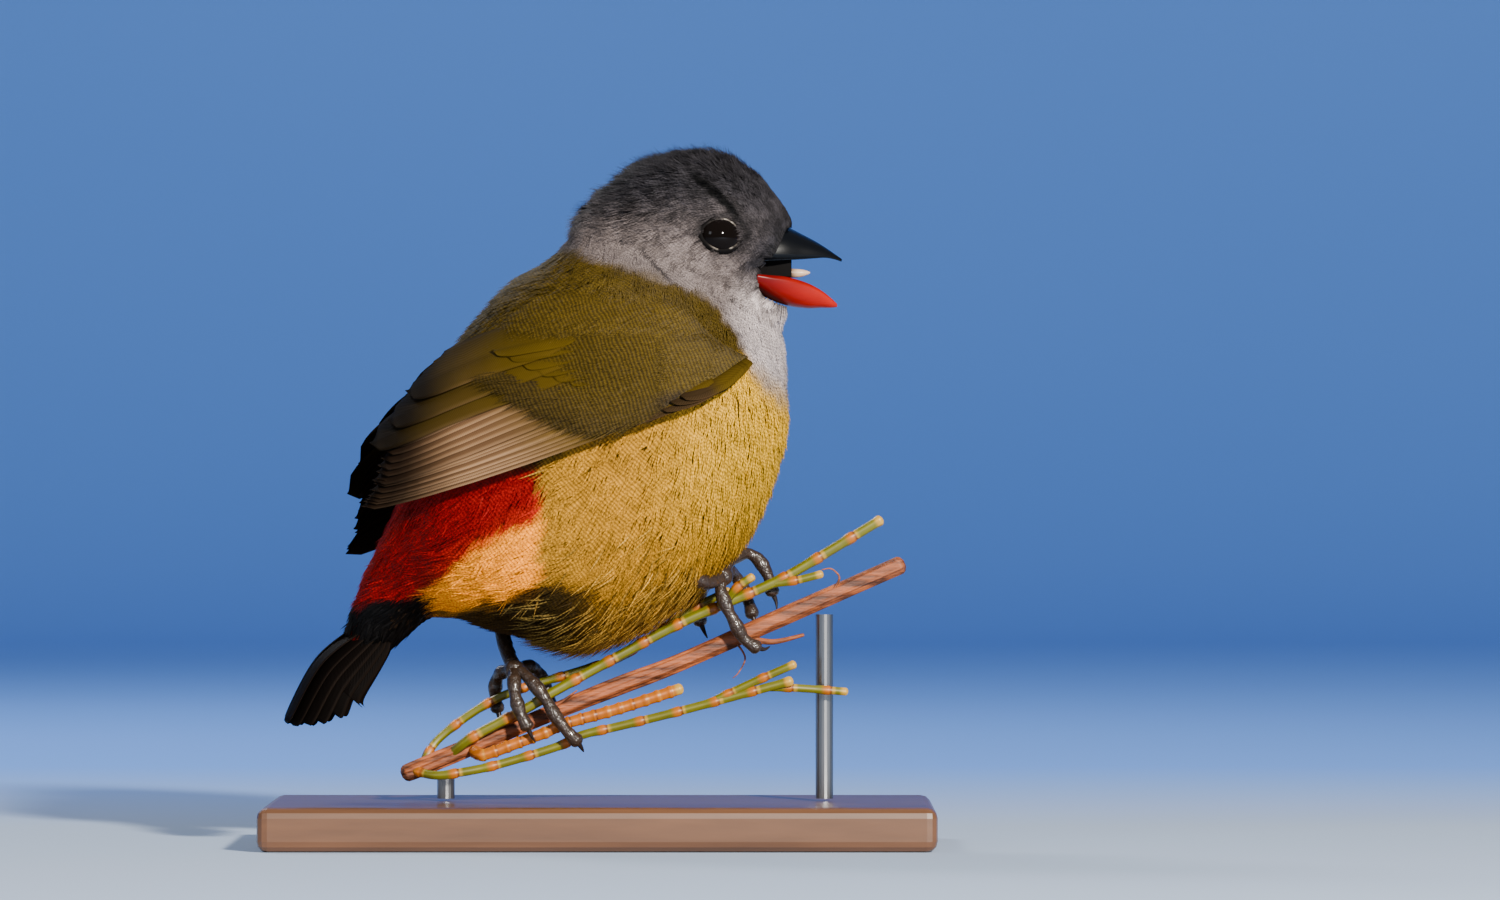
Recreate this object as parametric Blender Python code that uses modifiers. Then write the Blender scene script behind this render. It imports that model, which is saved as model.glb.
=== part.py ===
"""Yellow-bellied waxbill on a cut perch, held by a display stand: a life-size still model.

The frame is in metres with +Z up. The bird looks along +X and its right side faces -Y.
The origin lies on the underside of the base, at its middle. Sizes below are in
millimetres, and side-view places are (x, z) pairs.
"""
import math

import bmesh
import bpy
import numpy as np
from mathutils import Matrix, Vector
from mathutils.bvhtree import BVHTree

MM = 0.001
GAP = 0.3
MODEL_NAME = "Yellow_bellied_waxbill"

# Body, from the tail's root to the bill: point on the back, point on the belly,
# half width, and how far the lower half is drawn in towards the middle.
BODY_STATIONS = (
    ((-28.3, 26.5), (-22.0, 23.6), 3.8, 0.0),
    ((-26.4, 31.6), (-18.2, 25.9), 6.0, 0.0),
    ((-24.4, 35.9), (-14.0, 25.6), 8.6, 0.0),
    ((-22.2, 41.0), (-8.0, 23.8), 12.0, 0.0),
    ((-20.4, 48.0), (0.0, 22.6), 14.8, 0.0),
    ((-17.0, 56.0), (9.5, 27.2), 16.2, 0.0),
    ((-11.4, 62.9), (17.0, 34.6), 16.4, 0.0),
    ((-5.7, 66.9), (20.9, 45.0), 15.2, 0.0),
    ((-3.5, 69.5), (21.2, 53.5), 12.0, 0.05),
    ((-2.3, 71.6), (20.9, 58.3), 9.6, 0.15),
    ((1.1, 74.9), (21.1, 59.5), 8.4, 0.3),
    ((5.0, 77.6), (21.3, 60.2), 7.9, 0.4),
    ((9.4, 78.75), (21.45, 60.8), 7.2, 0.5),
    ((13.6, 78.4), (21.55, 61.3), 6.0, 0.5),
    ((17.6, 76.3), (21.65, 61.7), 4.6, 0.45),
    ((20.4, 73.2), (21.7, 62.1), 3.5, 0.35),
    ((21.8, 70.9), (21.75, 62.6), 2.8, 0.3),
)
RUMP_END = 2.0
TORSO_END = 7.0
NECK_END = 9.0
BODY_END = len(BODY_STATIONS) - 1.0
BODY_SIDES = 28
BODY_POWER = 2.2

# Bill: upper edge, lower edge, half width.
UPPER_BILL = (
    ((19.4, 71.0), (18.6, 66.4), 3.9),
    ((21.4, 70.2), (20.9, 66.5), 3.25),
    ((23.2, 69.3), (22.9, 66.6), 2.4),
    ((24.6, 68.55), (24.4, 66.7), 1.75),
    ((25.8, 67.8), (25.65, 66.75), 1.15),
    ((26.8, 67.1), (26.7, 66.55), 0.6),
    ((27.5, 66.6), (27.45, 66.3), 0.2),
)
LOWER_BILL = (
    ((17.9, 64.8), (17.5, 63.0), 4.2),
    ((19.3, 64.7), (19.3, 62.0), 3.9),
    ((21.3, 64.5), (21.5, 61.25), 3.15),
    ((23.4, 63.9), (23.6, 61.0), 2.2),
    ((25.0, 63.1), (25.1, 61.05), 1.5),
    ((26.2, 62.2), (26.25, 61.05), 0.85),
    ((26.95, 61.5), (26.95, 61.15), 0.25),
)
BILL_SIDES = 9
PALATE_DEPTH = 0.2
TROUGH_DEPTH = 0.4
NOSTRIL_AT = (22.3, 68.7)
NOSTRIL_SIDE = 2.1
NOSTRIL_RADIUS = 0.4
MOUTH = (
    ((17.2, 65.9), (17.2, 65.5), 1.2),
    ((17.9, 66.1), (17.9, 65.0), 6.0),
    ((19.5, 66.9), (19.5, 64.3), 6.0),
    ((24.0, 67.0), (24.0, 64.2), 6.0),
)
TONGUE_PATH = ((19.0, 0.0, 65.6), (20.2, 0.0, 65.4), (21.8, 0.0, 65.0), (23.8, 0.0, 65.1))
TONGUE_RADII = (0.6, 0.65, 0.55, 0.2)

EYE_AT = (13.9, 69.3)
EYE_RADIUS = 2.55
EYE_PROUD = 0.5
LID_HALF_LENGTH = 2.35
LID_HALF_HEIGHT = 1.95
LID_THICKNESS = 0.42

# Wing, in its own side-view frame: s runs from the wrist to the tip, r across it, upwards.
WRIST = (16.1, 54.7)
WING_TIP = (-25.5, 39.5)
# Half width, mid height and half height of the smooth form that both wings lie on, by x.
BED_X = (-36.0, -30.0, -25.0, -20.0, -15.0, -8.0, 0.0, 8.0, 13.0, 17.0, 20.0)
BED_WIDTH = (3.4, 4.6, 7.0, 11.4, 14.9, 17.0, 17.6, 16.6, 14.8, 12.4, 9.6)
BED_MIDDLE = (31.0, 33.0, 35.5, 38.5, 41.0, 43.5, 45.0, 46.5, 47.5, 48.5, 49.0)
BED_HEIGHT = (12.0, 12.0, 12.0, 14.3, 17.8, 21.5, 23.5, 22.5, 20.5, 18.0, 16.0)
VANE_THICKNESS = 0.55
VANE_LOW_LIFT = 1.2
VANE_HIGH_LIFT = 0.55
VANE_SHAPE = (
    (0.0, 0.6), (0.25, 1.0), (0.55, 1.0), (0.78, 0.9), (0.91, 0.66), (1.0, 0.26),
)
# Tiers of wing feathers: count, first root and step, first tip and step, width, lift, bow.
WING_TIERS = (
    (7, (5.0, -0.7), (0.9, 0.64), (45.2, -0.6), (-0.5, 0.38), 3.4, 0.0, -0.2),
    (5, (9.0, 3.4), (1.4, 0.9), (43.0, 1.6), (-0.75, 0.78), 4.2, 0.12, 0.4),
    (3, (15.0, 6.4), (1.5, 1.4), (42.0, 5.2), (-3.0, 1.9), 5.0, 0.3, 0.9),
    (3, (3.4, -1.0), (1.1, 0.45), (13.6, -1.35), (1.1, 0.8), 2.3, 0.5, -0.3),
    (5, (7.5, 1.4), (2.1, 1.75), (17.0, 1.3), (2.1, 2.05), 3.9, 0.7, 0.2),
)
PAD_END = 25.0
PAD_LOW_EDGE = (
    (-0.8, 0.2), (0.8, -1.4), (3.0, -2.3), (8.0, -2.2), (13.0, -1.2), (18.0, 2.0), (25.0, 8.6),
)
PAD_HIGH_EDGE = (
    (-0.8, 0.6), (0.8, 2.2), (3.0, 4.8), (8.0, 8.6), (13.0, 10.8), (18.0, 11.9), (25.0, 11.6),
)
PAD_BULGE = (
    (-0.8, 0.2), (1.0, 0.9), (4.0, 1.5), (9.0, 1.9), (15.0, 1.7), (20.0, 1.2), (25.0, 0.5),
)
FAR_WING_DROOP = 7.5
FAR_WING_SHIFT = -5.0
WING_CLEARANCE = 0.5
NEAR, FAR = -1, 1

# Tail, in its own frame: t runs along it from its root, n across it, upwards.
TAIL_ROOT = (-22.5, 27.5)
TAIL_DIRECTION = (-0.648, -0.762)
TAIL_PAIRS = 6
TAIL_HALF_WIDTH = 2.3
TAIL_CORE = (
    ((-28.3, 26.5), (-22.0, 23.6), 3.8),
    ((-29.6, 24.2), (-23.6, 22.1), 3.4),
    ((-30.6, 22.2), (-25.2, 20.3), 2.6),
    ((-31.2, 20.6), (-26.6, 18.6), 1.7),
)

# Legs: centre line and radii of each tarsus, and of each toe and its claw.
THIGHS = {
    "right": ((7.5, -8.5, 36.0), (9.3, -6.8, 31.6), 3.2, 1.7),
    "left": ((-9.0, 5.0, 30.0), (-11.3, 4.2, 25.6), 3.4, 1.7),
}
TARSI = {
    "right": ((9.5, -6.8, 31.6), (11.8, -5.2, 30.0), (14.0, -1.9, 30.6)),
    "left": ((-11.4, 4.4, 26.6), (-10.9, 2.2, 23.0), (-9.7, -0.9, 20.0)),
}
TARSUS_RADIUS = 0.85
KNUCKLE_RADIUS = 1.15
TOE_RADIUS = 0.74
TOE_TIP_RADIUS = 0.72
CLAW_RADIUS = 0.38
CLAW_TIP_RADIUS = 0.06
TOES = {
    "left_middle": (
        ((-9.7, -0.9, 20.0), (-8.6, -2.0, 19.5), (-7.3, -3.0, 18.2), (-6.0, -3.6, 16.5),
         (-5.0, -3.9, 14.8), (-3.7, -4.2, 13.1), (-2.5, -4.2, 11.9)),
        ((-2.5, -4.2, 11.9), (-2.0, -3.7, 11.1), (-1.8, -2.9, 10.7)),
    ),
    "left_inner": (
        ((-9.7, -0.9, 20.0), (-9.7, -2.4, 19.2), (-9.6, -3.6, 17.4), (-9.0, -4.0, 15.2),
         (-8.2, -4.1, 13.6)),
        ((-8.2, -4.1, 13.6), (-7.7, -3.9, 12.5), (-7.3, -3.5, 11.8)),
    ),
    "left_outer": (
        ((-9.7, -0.9, 20.0), (-8.9, 0.6, 20.2), (-7.6, 2.4, 20.1), (-6.6, 3.3, 18.9),
         (-6.0, 3.3, 17.0), (-5.5, 2.8, 15.6)),
        ((-5.5, 2.8, 15.6), (-5.2, 2.5, 14.5), (-5.1, 2.0, 13.6)),
    ),
    "left_hallux": (
        ((-9.7, -0.9, 20.0), (-10.8, 0.6, 19.8), (-11.7, 2.5, 19.0), (-12.0, 3.3, 17.2),
         (-11.7, 3.1, 15.4)),
        ((-11.7, 3.1, 15.4), (-11.4, 2.8, 14.2), (-11.0, 2.2, 13.2)),
    ),
    "right_middle": (
        ((14.0, -1.9, 30.6), (14.6, -1.0, 32.0), (15.6, 0.3, 32.9), (16.9, 1.2, 33.1),
         (18.1, 1.3, 32.3), (19.1, 1.2, 30.6), (19.6, 1.2, 28.7)),
        ((19.6, 1.2, 28.7), (20.0, 1.2, 27.7), (20.1, 1.0, 26.8)),
    ),
    "right_outer": (
        ((14.0, -1.9, 30.6), (13.7, -2.9, 29.4), (14.2, -3.2, 27.6), (15.3, -3.2, 25.4),
         (16.4, -2.9, 23.5), (17.8, -2.7, 22.5)),
        ((17.8, -2.7, 22.5), (18.7, -2.3, 22.3), (19.3, -1.7, 22.6)),
    ),
    "right_inner": (
        ((14.0, -1.9, 30.6), (14.3, 0.4, 31.2), (15.2, 2.3, 30.8), (16.2, 3.2, 29.2),
         (16.9, 3.0, 27.5), (17.3, 2.4, 26.2)),
        ((17.3, 2.4, 26.2), (17.6, 2.0, 25.2), (17.7, 1.5, 24.4)),
    ),
    "right_hallux": (
        ((14.0, -1.9, 30.6), (13.0, -0.2, 30.6), (12.0, 1.8, 29.9), (11.3, 3.2, 28.4),
         (11.1, 3.3, 26.8), (11.4, 2.9, 25.3)),
        ((11.4, 2.9, 25.3), (11.8, 2.6, 24.3), (12.2, 2.0, 23.5)),
    ),
}

# Perch: the ridged stem and the green twigs that grow from it, lower left to upper right.
STEM_PATH = (
    (-22.0, 0.0, 8.2), (-19.3, 0.0, 9.3), (-4.4, 0.0, 15.5), (2.3, 0.0, 18.2), (9.1, 0.0, 20.8),
    (22.7, 0.0, 26.8), (34.1, 0.0, 31.8),
)
STEM_RADIUS = 1.0
TWIGS = {
    "perch_twig_upper": (0.6, (
        (-16.8, -0.2, 10.4), (-15.3, -1.6, 11.7), (-13.4, -1.9, 12.9), (-8.3, -1.9, 15.6),
        (-5.7, -1.8, 17.2), (2.3, -1.0, 21.6), (9.1, -0.7, 25.2), (15.1, -0.7, 27.8),
        (19.9, -0.7, 29.9), (22.7, -0.6, 31.4), (31.8, -0.4, 36.9))),
    "perch_twig_rear": (0.5, (
        (-20.3, 0.3, 8.9), (-18.4, 1.7, 12.0), (-13.6, 1.8, 15.6), (-9.1, 1.6, 17.7),
        (-1.9, 1.9, 19.9), (2.8, 2.2, 21.6), (10.2, 1.7, 26.6), (14.6, 1.3, 28.8))),
    "perch_twig_lower": (0.55, (
        (-20.8, -0.6, 8.4), (-18.6, -2.2, 8.0), (-16.0, -2.5, 8.3), (-11.6, -2.3, 9.2), (-4.7, -2.2, 11.3),
        (-1.9, -2.3, 12.6), (2.3, -2.4, 13.6), (9.1, -2.8, 15.3), (21.6, -3.4, 18.7))),
    "perch_twig_short": (0.7, (
        (-14.4, -0.3, 10.9), (-13.6, -2.2, 10.3), (-12.2, -2.6, 10.6), (-9.8, -2.6, 11.5), (-6.3, -2.5, 12.8),
        (-3.8, -2.6, 13.9), (2.3, -2.4, 15.6), (9.1, -2.2, 17.8))),
}
SIDE_TWIG_RADIUS = 0.5
SIDE_TWIGS = {
    "perch_twig_upper": (
        ((19.6, -0.7, 29.7), (22.3, -1.1, 30.1), (25.1, -1.2, 30.8)),
        ((14.2, -1.0, 27.5), (15.6, -1.7, 29.3), (17.3, -1.9, 30.5)),
    ),
    "perch_twig_lower": (
        ((12.4, -2.9, 16.2), (16.8, -3.3, 18.3), (22.0, -3.7, 20.6)),
        ((19.0, -3.2, 18.0), (22.5, -2.6, 17.9), (27.9, -2.3, 17.5)),
    ),
}
TWIG_JOINT_SPACING = 4.1
TWIG_JOINT_SWELL = 0.12

# Stand.
BASE_LENGTH = 76.0
BASE_WIDTH = 46.0
BASE_HEIGHT = 5.0
BASE_BEVEL = 1.2
ROD_RADIUS = 1.0
RODS = {"stand_rod_lower": -17.5, "stand_rod_upper": 25.5}

COLOURS = {
    "head": (0.085, 0.082, 0.09), "neck": (0.19, 0.18, 0.19), "torso": (0.42, 0.3, 0.08),
    "rump": (0.3, 0.02, 0.01), "tail": (0.02, 0.017, 0.016), "wing": (0.12, 0.085, 0.03),
    "eye": (0.004, 0.004, 0.004), "bill_upper": (0.008, 0.008, 0.01),
    "bill_lower": (0.75, 0.03, 0.015), "tongue": (0.6, 0.35, 0.33), "leg": (0.06, 0.045, 0.045),
    "claw": (0.03, 0.025, 0.025), "stem": (0.4, 0.2, 0.12), "twig": (0.25, 0.24, 0.04),
    "base": (0.09, 0.045, 0.02), "rod": (0.6, 0.6, 0.6),
}
ROUGHNESS = {
    "eye": 0.05, "bill_upper": 0.3, "bill_lower": 0.3, "tongue": 0.4, "leg": 0.45, "claw": 0.35,
    "base": 0.4, "rod": 0.25,
}


def clear_scene():
    for old in list(bpy.data.objects):
        bpy.data.objects.remove(old, do_unlink=True)


def make_collection(name):
    group = bpy.data.collections.new(name)
    bpy.context.scene.collection.children.link(group)
    return group


def make_material(kind):
    material = bpy.data.materials.new(kind)
    material.use_nodes = True
    surface = material.node_tree.nodes["Principled BSDF"]
    surface.inputs["Base Color"].default_value = (*COLOURS[kind], 1.0)
    surface.inputs["Roughness"].default_value = ROUGHNESS.get(kind, 0.8)
    surface.inputs["Metallic"].default_value = 1.0 if kind == "rod" else 0.0
    material.diffuse_color = (*COLOURS[kind], 1.0)
    return material


def catmull_rom(points, position):
    """The value at a fractional place along a list of equal-length tuples."""
    last = len(points) - 1
    start = min(int(position), last - 1)
    u = position - start
    around = [np.array(points[min(max(start + k, 0), last)], float) for k in (-1, 0, 1, 2)]
    a, b, c, d = around
    return 0.5 * (
        2 * b + (c - a) * u + (2 * a - 5 * b + 4 * c - d) * u ** 2
        + (3 * b - a - 3 * c + d) * u ** 3
    )


def smooth_path(points, spacing):
    """Points about this far apart on a smooth curve through the given ones."""
    path = []
    for start in range(len(points) - 1):
        length = np.linalg.norm(np.subtract(points[start + 1], points[start]))
        steps = max(1, round(length / spacing))
        path += [catmull_rom(points, start + step / steps) for step in range(steps)]
    path.append(np.array(points[-1], float))
    return path


def table(x, pairs):
    """Smoothly interpolated value of a table of (x, value) pairs."""
    places = [pair[0] for pair in pairs]
    x = min(max(x, places[0]), places[-1])
    start = min(int(np.searchsorted(places, x, side="right")) - 1, len(places) - 2)
    u = (x - places[start]) / (places[start + 1] - places[start])
    return float(catmull_rom([(pair[1],) for pair in pairs], start + u)[0])


def object_from_bmesh(name, shape, group):
    mesh = bpy.data.meshes.new(name)
    shape.to_mesh(mesh)
    shape.free()
    mesh.shade_smooth()
    made = bpy.data.objects.new(name, mesh)
    group.objects.link(made)
    return made


def loft(name, rings, group, mirrored_strips=(), flat_caps=False):
    """A closed skin over rings of points in millimetres, triangulated by one rule throughout.

    Strips named in mirrored_strips are split along the other diagonal. A flat cap suits
    the section of a vane, whose points run across one face and back along the other.
    """
    shape = bmesh.new()
    count = len(rings[0])
    layers = [[shape.verts.new(Vector(point) * MM) for point in ring] for ring in rings]
    for near_ring, far_ring in zip(layers, layers[1:]):
        for j in range(count):
            k = (j + 1) % count
            a, b, c, d = near_ring[j], near_ring[k], far_ring[k], far_ring[j]
            if j in mirrored_strips:
                shape.faces.new((a, b, d))
                shape.faces.new((b, c, d))
            else:
                shape.faces.new((a, b, c))
                shape.faces.new((a, c, d))
    for ring in (layers[0], layers[-1]):
        if flat_caps:
            half = count // 2
            for j in range(half - 1):
                opposite = count - 1 - j
                shape.faces.new((ring[j], ring[j + 1], ring[opposite - 1]))
                shape.faces.new((ring[j], ring[opposite - 1], ring[opposite]))
        else:
            middle = sum((vertex.co for vertex in ring), Vector()) / count
            centre = shape.verts.new(middle)
            for j in range(count):
                shape.faces.new((ring[j], ring[(j + 1) % count], centre))
    bmesh.ops.recalc_face_normals(shape, faces=shape.faces)
    if shape.calc_volume(signed=True) < 0:
        bmesh.ops.reverse_faces(shape, faces=shape.faces)
    return object_from_bmesh(name, shape, group)


def tube(name, points, radii, group, sides_step=2):
    """A closed round tube along points in millimetres, one radius for each point."""
    curve = bpy.data.curves.new(name, "CURVE")
    curve.dimensions = "3D"
    curve.bevel_depth = MM
    curve.bevel_resolution = sides_step
    curve.use_fill_caps = True
    spline = curve.splines.new("POLY")
    spline.points.add(len(points) - 1)
    for place, point, radius in zip(spline.points, points, radii):
        place.co = (*(Vector(point) * MM), 1.0)
        place.radius = radius
    guide = bpy.data.objects.new(name + "_guide", curve)
    group.objects.link(guide)
    bpy.context.view_layer.update()
    evaluated = guide.evaluated_get(bpy.context.evaluated_depsgraph_get())
    mesh = bpy.data.meshes.new_from_object(evaluated)
    shape = bmesh.new()
    shape.from_mesh(mesh)
    shape.transform(guide.matrix_world)
    bmesh.ops.remove_doubles(shape, verts=shape.verts, dist=0.002 * MM)
    bmesh.ops.recalc_face_normals(shape, faces=shape.faces)
    bpy.data.objects.remove(guide, do_unlink=True)
    bpy.data.curves.remove(curve)
    bpy.data.meshes.remove(mesh)
    return object_from_bmesh(name, shape, group)


def ball(name, centre, radius, group, segments=16, rings=10, stretch=(1.0, 1.0, 1.0)):
    shape = bmesh.new()
    bmesh.ops.create_uvsphere(shape, u_segments=segments, v_segments=rings, radius=radius * MM)
    bmesh.ops.scale(shape, vec=stretch, verts=shape.verts)
    bmesh.ops.translate(shape, vec=Vector(centre) * MM, verts=shape.verts)
    return object_from_bmesh(name, shape, group)


def apply_modifiers(made):
    bpy.context.view_layer.update()
    evaluated = made.evaluated_get(bpy.context.evaluated_depsgraph_get())
    mesh = bpy.data.meshes.new_from_object(evaluated)
    made.modifiers.clear()
    made.data = mesh
    made.data.shade_smooth()


def keep_largest(made):
    """Leaves only the closed surface with the most faces' area."""
    shape = bmesh.new()
    shape.from_mesh(made.data)
    left = set(shape.faces)
    bodies = []
    while left:
        stack = [left.pop()]
        body = list(stack)
        while stack:
            for edge in stack.pop().edges:
                for face in edge.link_faces:
                    if face in left:
                        left.discard(face)
                        stack.append(face)
                        body.append(face)
        bodies.append(body)
    bodies.sort(key=lambda faces: sum(face.calc_area() for face in faces))
    spare = {vertex for body in bodies[:-1] for face in body for vertex in face.verts}
    bmesh.ops.delete(shape, geom=list(spare), context="VERTS")
    shape.to_mesh(made.data)
    shape.free()


def combine(made, others, operation, solver="EXACT"):
    """Applies one Boolean of this object with the others, which are then removed."""
    group = make_collection(made.name + "_pieces")
    for other in others:
        for owner in list(other.users_collection):
            owner.objects.unlink(other)
        group.objects.link(other)
    step = made.modifiers.new("Combine", "BOOLEAN")
    step.operation = operation
    step.operand_type = "COLLECTION"
    step.collection = group
    step.solver = solver
    apply_modifiers(made)
    for other in list(group.objects):
        bpy.data.objects.remove(other, do_unlink=True)
    bpy.data.collections.remove(group)
    keep_largest(made)
    return made


def body_ring(position, grow=0.0, shift=0.0):
    """One ring of the body's form, in a plane through its back and belly points."""
    flat = [(*back, *belly, width, pinch) for back, belly, width, pinch in BODY_STATIONS]
    back_x, back_z, belly_x, belly_z, width, pinch = catmull_rom(flat, position)
    back = Vector((back_x, 0.0, back_z))
    belly = Vector((belly_x, 0.0, belly_z))
    upright = (back - belly) / 2
    middle = (back + belly) / 2
    forward = Vector((upright.z, 0.0, -upright.x)).normalized()
    middle += forward * shift
    upright *= (upright.length + grow) / upright.length
    width += grow
    ring = []
    for j in range(BODY_SIDES):
        angle = 2 * math.pi * j / BODY_SIDES
        across = math.copysign(abs(math.sin(angle)) ** (2 / BODY_POWER), math.sin(angle))
        along = math.copysign(abs(math.cos(angle)) ** (2 / BODY_POWER), math.cos(angle))
        lower = min(max(-along * 1.4, 0.0), 1.0)
        drawn_in = 1.0 - pinch * lower * lower * (3 - 2 * lower)
        ring.append(middle + upright * along + Vector((0.0, width * across * drawn_in, 0.0)))
    return ring


def body_form(name, start, end, count, group, grow=0.0):
    """A length of the body between two stations, each end drawn back by half the gap."""
    inset = GAP / 2 if grow == 0.0 else 0.0
    rings = []
    for step in range(count + 1):
        shift = inset if step == 0 else -inset if step == count else 0.0
        if (step == 0 and start == 0.0) or (step == count and end == BODY_END):
            shift = -grow if step == 0 else grow
        rings.append(body_ring(start + (end - start) * step / count, grow, shift))
    return loft(name, rings, group)


def whole_body(name, group, grow):
    return body_form(name, 0.0, BODY_END, 44, group, grow)


def mirrored_half_section(upper, lower, width, hollow, upward, grow=0.0):
    """A bill section: an arch over a slightly hollow face, or the same turned over."""
    top = Vector((upper[0], 0.0, upper[1]))
    bottom = Vector((lower[0], 0.0, lower[1]))
    rise = top - bottom
    outward = rise.normalized() * grow
    top += outward
    bottom -= outward
    foot, crest = (bottom, top) if upward else (top, bottom)
    reach = crest - foot
    half = width + grow
    section = []
    for j in range(BILL_SIDES):
        angle = math.pi * j / (BILL_SIDES - 1)
        side = math.cos(angle)
        section.append(foot + reach * math.sin(angle) ** 0.9 + Vector((0.0, half * side, 0.0)))
    dip = 0.0 if grow else hollow
    section.append(foot + reach * dip)
    return section


def bill_form(name, stations, hollow, upward, group, grow=0.0):
    rings = [
        mirrored_half_section(upper, lower, width, hollow, upward, grow)
        for upper, lower, width in stations
    ]
    if grow:
        rings.insert(0, [point - Vector((grow, 0.0, 0.0)) for point in rings[0]])
        rings.append([point + Vector((grow, 0.0, 0.0)) for point in rings[-1]])
    return loft(name, rings, group)


def mouth_cutter(group):
    rings = []
    for upper, lower, width in MOUTH:
        ring = []
        for height, side in ((1, 1), (1, -1), (0, -1), (0, 1)):
            x, z = upper if height else lower
            ring.append(Vector((x, side * width, z)))
        rings.append(ring)
    return loft("mouth_cutter", rings, group)


def side_point(tree, x, z, side):
    """The point and outward normal where a ray from one side first meets a form."""
    start = Vector((x, side * 50.0, z)) * MM
    place, normal, _, _ = tree.ray_cast(start, Vector((0.0, -side, 0.0)))
    return place / MM, normal


def lid_ring(name, middle, normal, group):
    """A thick elliptical rim that stands for both eyelids."""
    turn = normal.to_track_quat("Z", "Y").to_matrix().to_4x4()
    bpy.ops.mesh.primitive_torus_add(
        major_segments=18, minor_segments=6, major_radius=1.0, minor_radius=0.2,
    )
    rim = bpy.context.object
    rim.name = name
    shape = bmesh.new()
    shape.from_mesh(rim.data)
    bpy.data.objects.remove(rim, do_unlink=True)
    for vertex in shape.verts:
        ring_x, ring_y, ring_z = vertex.co
        length = math.hypot(ring_x, ring_y)
        spread = (length - 1.0) / 0.2 * LID_THICKNESS
        vertex.co = Vector((
            ring_x / length * (LID_HALF_HEIGHT + spread),
            ring_y / length * (LID_HALF_LENGTH + spread),
            ring_z / 0.2 * LID_THICKNESS,
        )) * MM
    shape.transform(Matrix.Translation(middle * MM) @ turn)
    return object_from_bmesh(name, shape, group)


def wing_frame(s, r, droop, shift):
    """Side-view place of a point given along and across the wing."""
    along = Vector((WING_TIP[0] - WRIST[0], 0.0, WING_TIP[1] - WRIST[1])).normalized()
    turn = Matrix.Rotation(-math.radians(droop), 3, "Y")
    along = turn @ along
    across = Vector((along.z, 0.0, -along.x))
    place = along * s + across * r
    return WRIST[0] + shift + place.x, WRIST[1] + place.z


def bed_half_width(x, z):
    width = table(x, tuple(zip(BED_X, BED_WIDTH)))
    middle = table(x, tuple(zip(BED_X, BED_MIDDLE)))
    height = table(x, tuple(zip(BED_X, BED_HEIGHT)))
    inside = 1.0 - ((z - middle) / height) ** 2
    return width * math.sqrt(max(inside, 0.02))


def wing_point(s, r, lift, side, droop, shift):
    """A point of the wing, lifted off the form that it lies on."""
    x, z = wing_frame(s, r, droop, shift)
    step = 0.2
    half = bed_half_width(x, z)
    slope_x = (bed_half_width(x + step, z) - bed_half_width(x - step, z)) / (2 * step)
    slope_z = (bed_half_width(x, z + step) - bed_half_width(x, z - step)) / (2 * step)
    normal = Vector((-slope_x, side, -slope_z)).normalized()
    return Vector((x, side * half, z)) + normal * lift, normal


def wing_vane(name, root, tip, width, lift, bow, group, side, droop, shift):
    """One feather of the folded wing: a thin tapered vane, its lower edge lifted."""
    rings = []
    for along, breadth in VANE_SHAPE:
        s = root[0] + (tip[0] - root[0]) * along
        r = root[1] + (tip[1] - root[1]) * along + bow * 4 * along * (1 - along)
        half = width / 2 * breadth
        low, low_normal = wing_point(s, r - half, lift + VANE_LOW_LIFT, side, droop, shift)
        high, high_normal = wing_point(s, r + half, lift + VANE_HIGH_LIFT, side, droop, shift)
        normal = (low_normal + high_normal).normalized()
        thick = normal * (VANE_THICKNESS / 2 * (1.0 if along < 0.95 else 0.6))
        middle = (low + high) / 2 + normal * 0.12
        rings.append([
            low + thick, middle + thick * 1.15, high + thick,
            high - thick, middle - thick * 0.9, low - thick,
        ])
    return loft(name, rings, group, mirrored_strips=(3, 4), flat_caps=True)


def wing_feathers():
    """Root, tip, width, lift and bow of every feather of one wing, in the wing's frame."""
    feathers = []
    for count, root, root_step, tip, tip_step, width, lift, bow in WING_TIERS:
        for k in range(count):
            start = (root[0] + root_step[0] * k, root[1] + root_step[1] * k)
            end = (tip[0] + tip_step[0] * k, tip[1] + tip_step[1] * k)
            feathers.append((start, end, width, lift, bow))
    return feathers


def wing_pad(name, group, side, droop, shift):
    """The smooth shoulder of the wing, under the small coverts; its inner face is cut later."""
    rings = []
    across_count = 8
    for step in range(14):
        s = PAD_LOW_EDGE[0][0] + (PAD_END - PAD_LOW_EDGE[0][0]) * (step / 13) ** 1.3
        low = table(s, PAD_LOW_EDGE)
        high = table(s, PAD_HIGH_EDGE)
        bulge = table(s, PAD_BULGE)
        outer = []
        inner = []
        for j in range(across_count + 1):
            part = j / across_count
            r = low + (high - low) * part
            rise = 0.35 + bulge * math.sin(math.pi * part) ** 0.6
            outer.append(wing_point(s, r, rise, side, droop, shift)[0])
            inner.append(wing_point(s, r, -2.2, side, droop, shift)[0])
        rings.append(outer + inner[::-1])
    strips = tuple(range(across_count + 1, 2 * across_count + 1))
    return loft(name, rings, group, mirrored_strips=strips, flat_caps=True)


def build_wing(name, side, droop, shift, group):
    pad = wing_pad(name, group, side, droop, shift)
    combine(pad, [whole_body(name + "_body", group, WING_CLEARANCE)], "DIFFERENCE")
    vanes = [
        wing_vane(f"{name}_vane_{number}", *feather, group, side, droop, shift)
        for number, feather in enumerate(wing_feathers())
    ]
    return combine(pad, vanes, "UNION")


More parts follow.
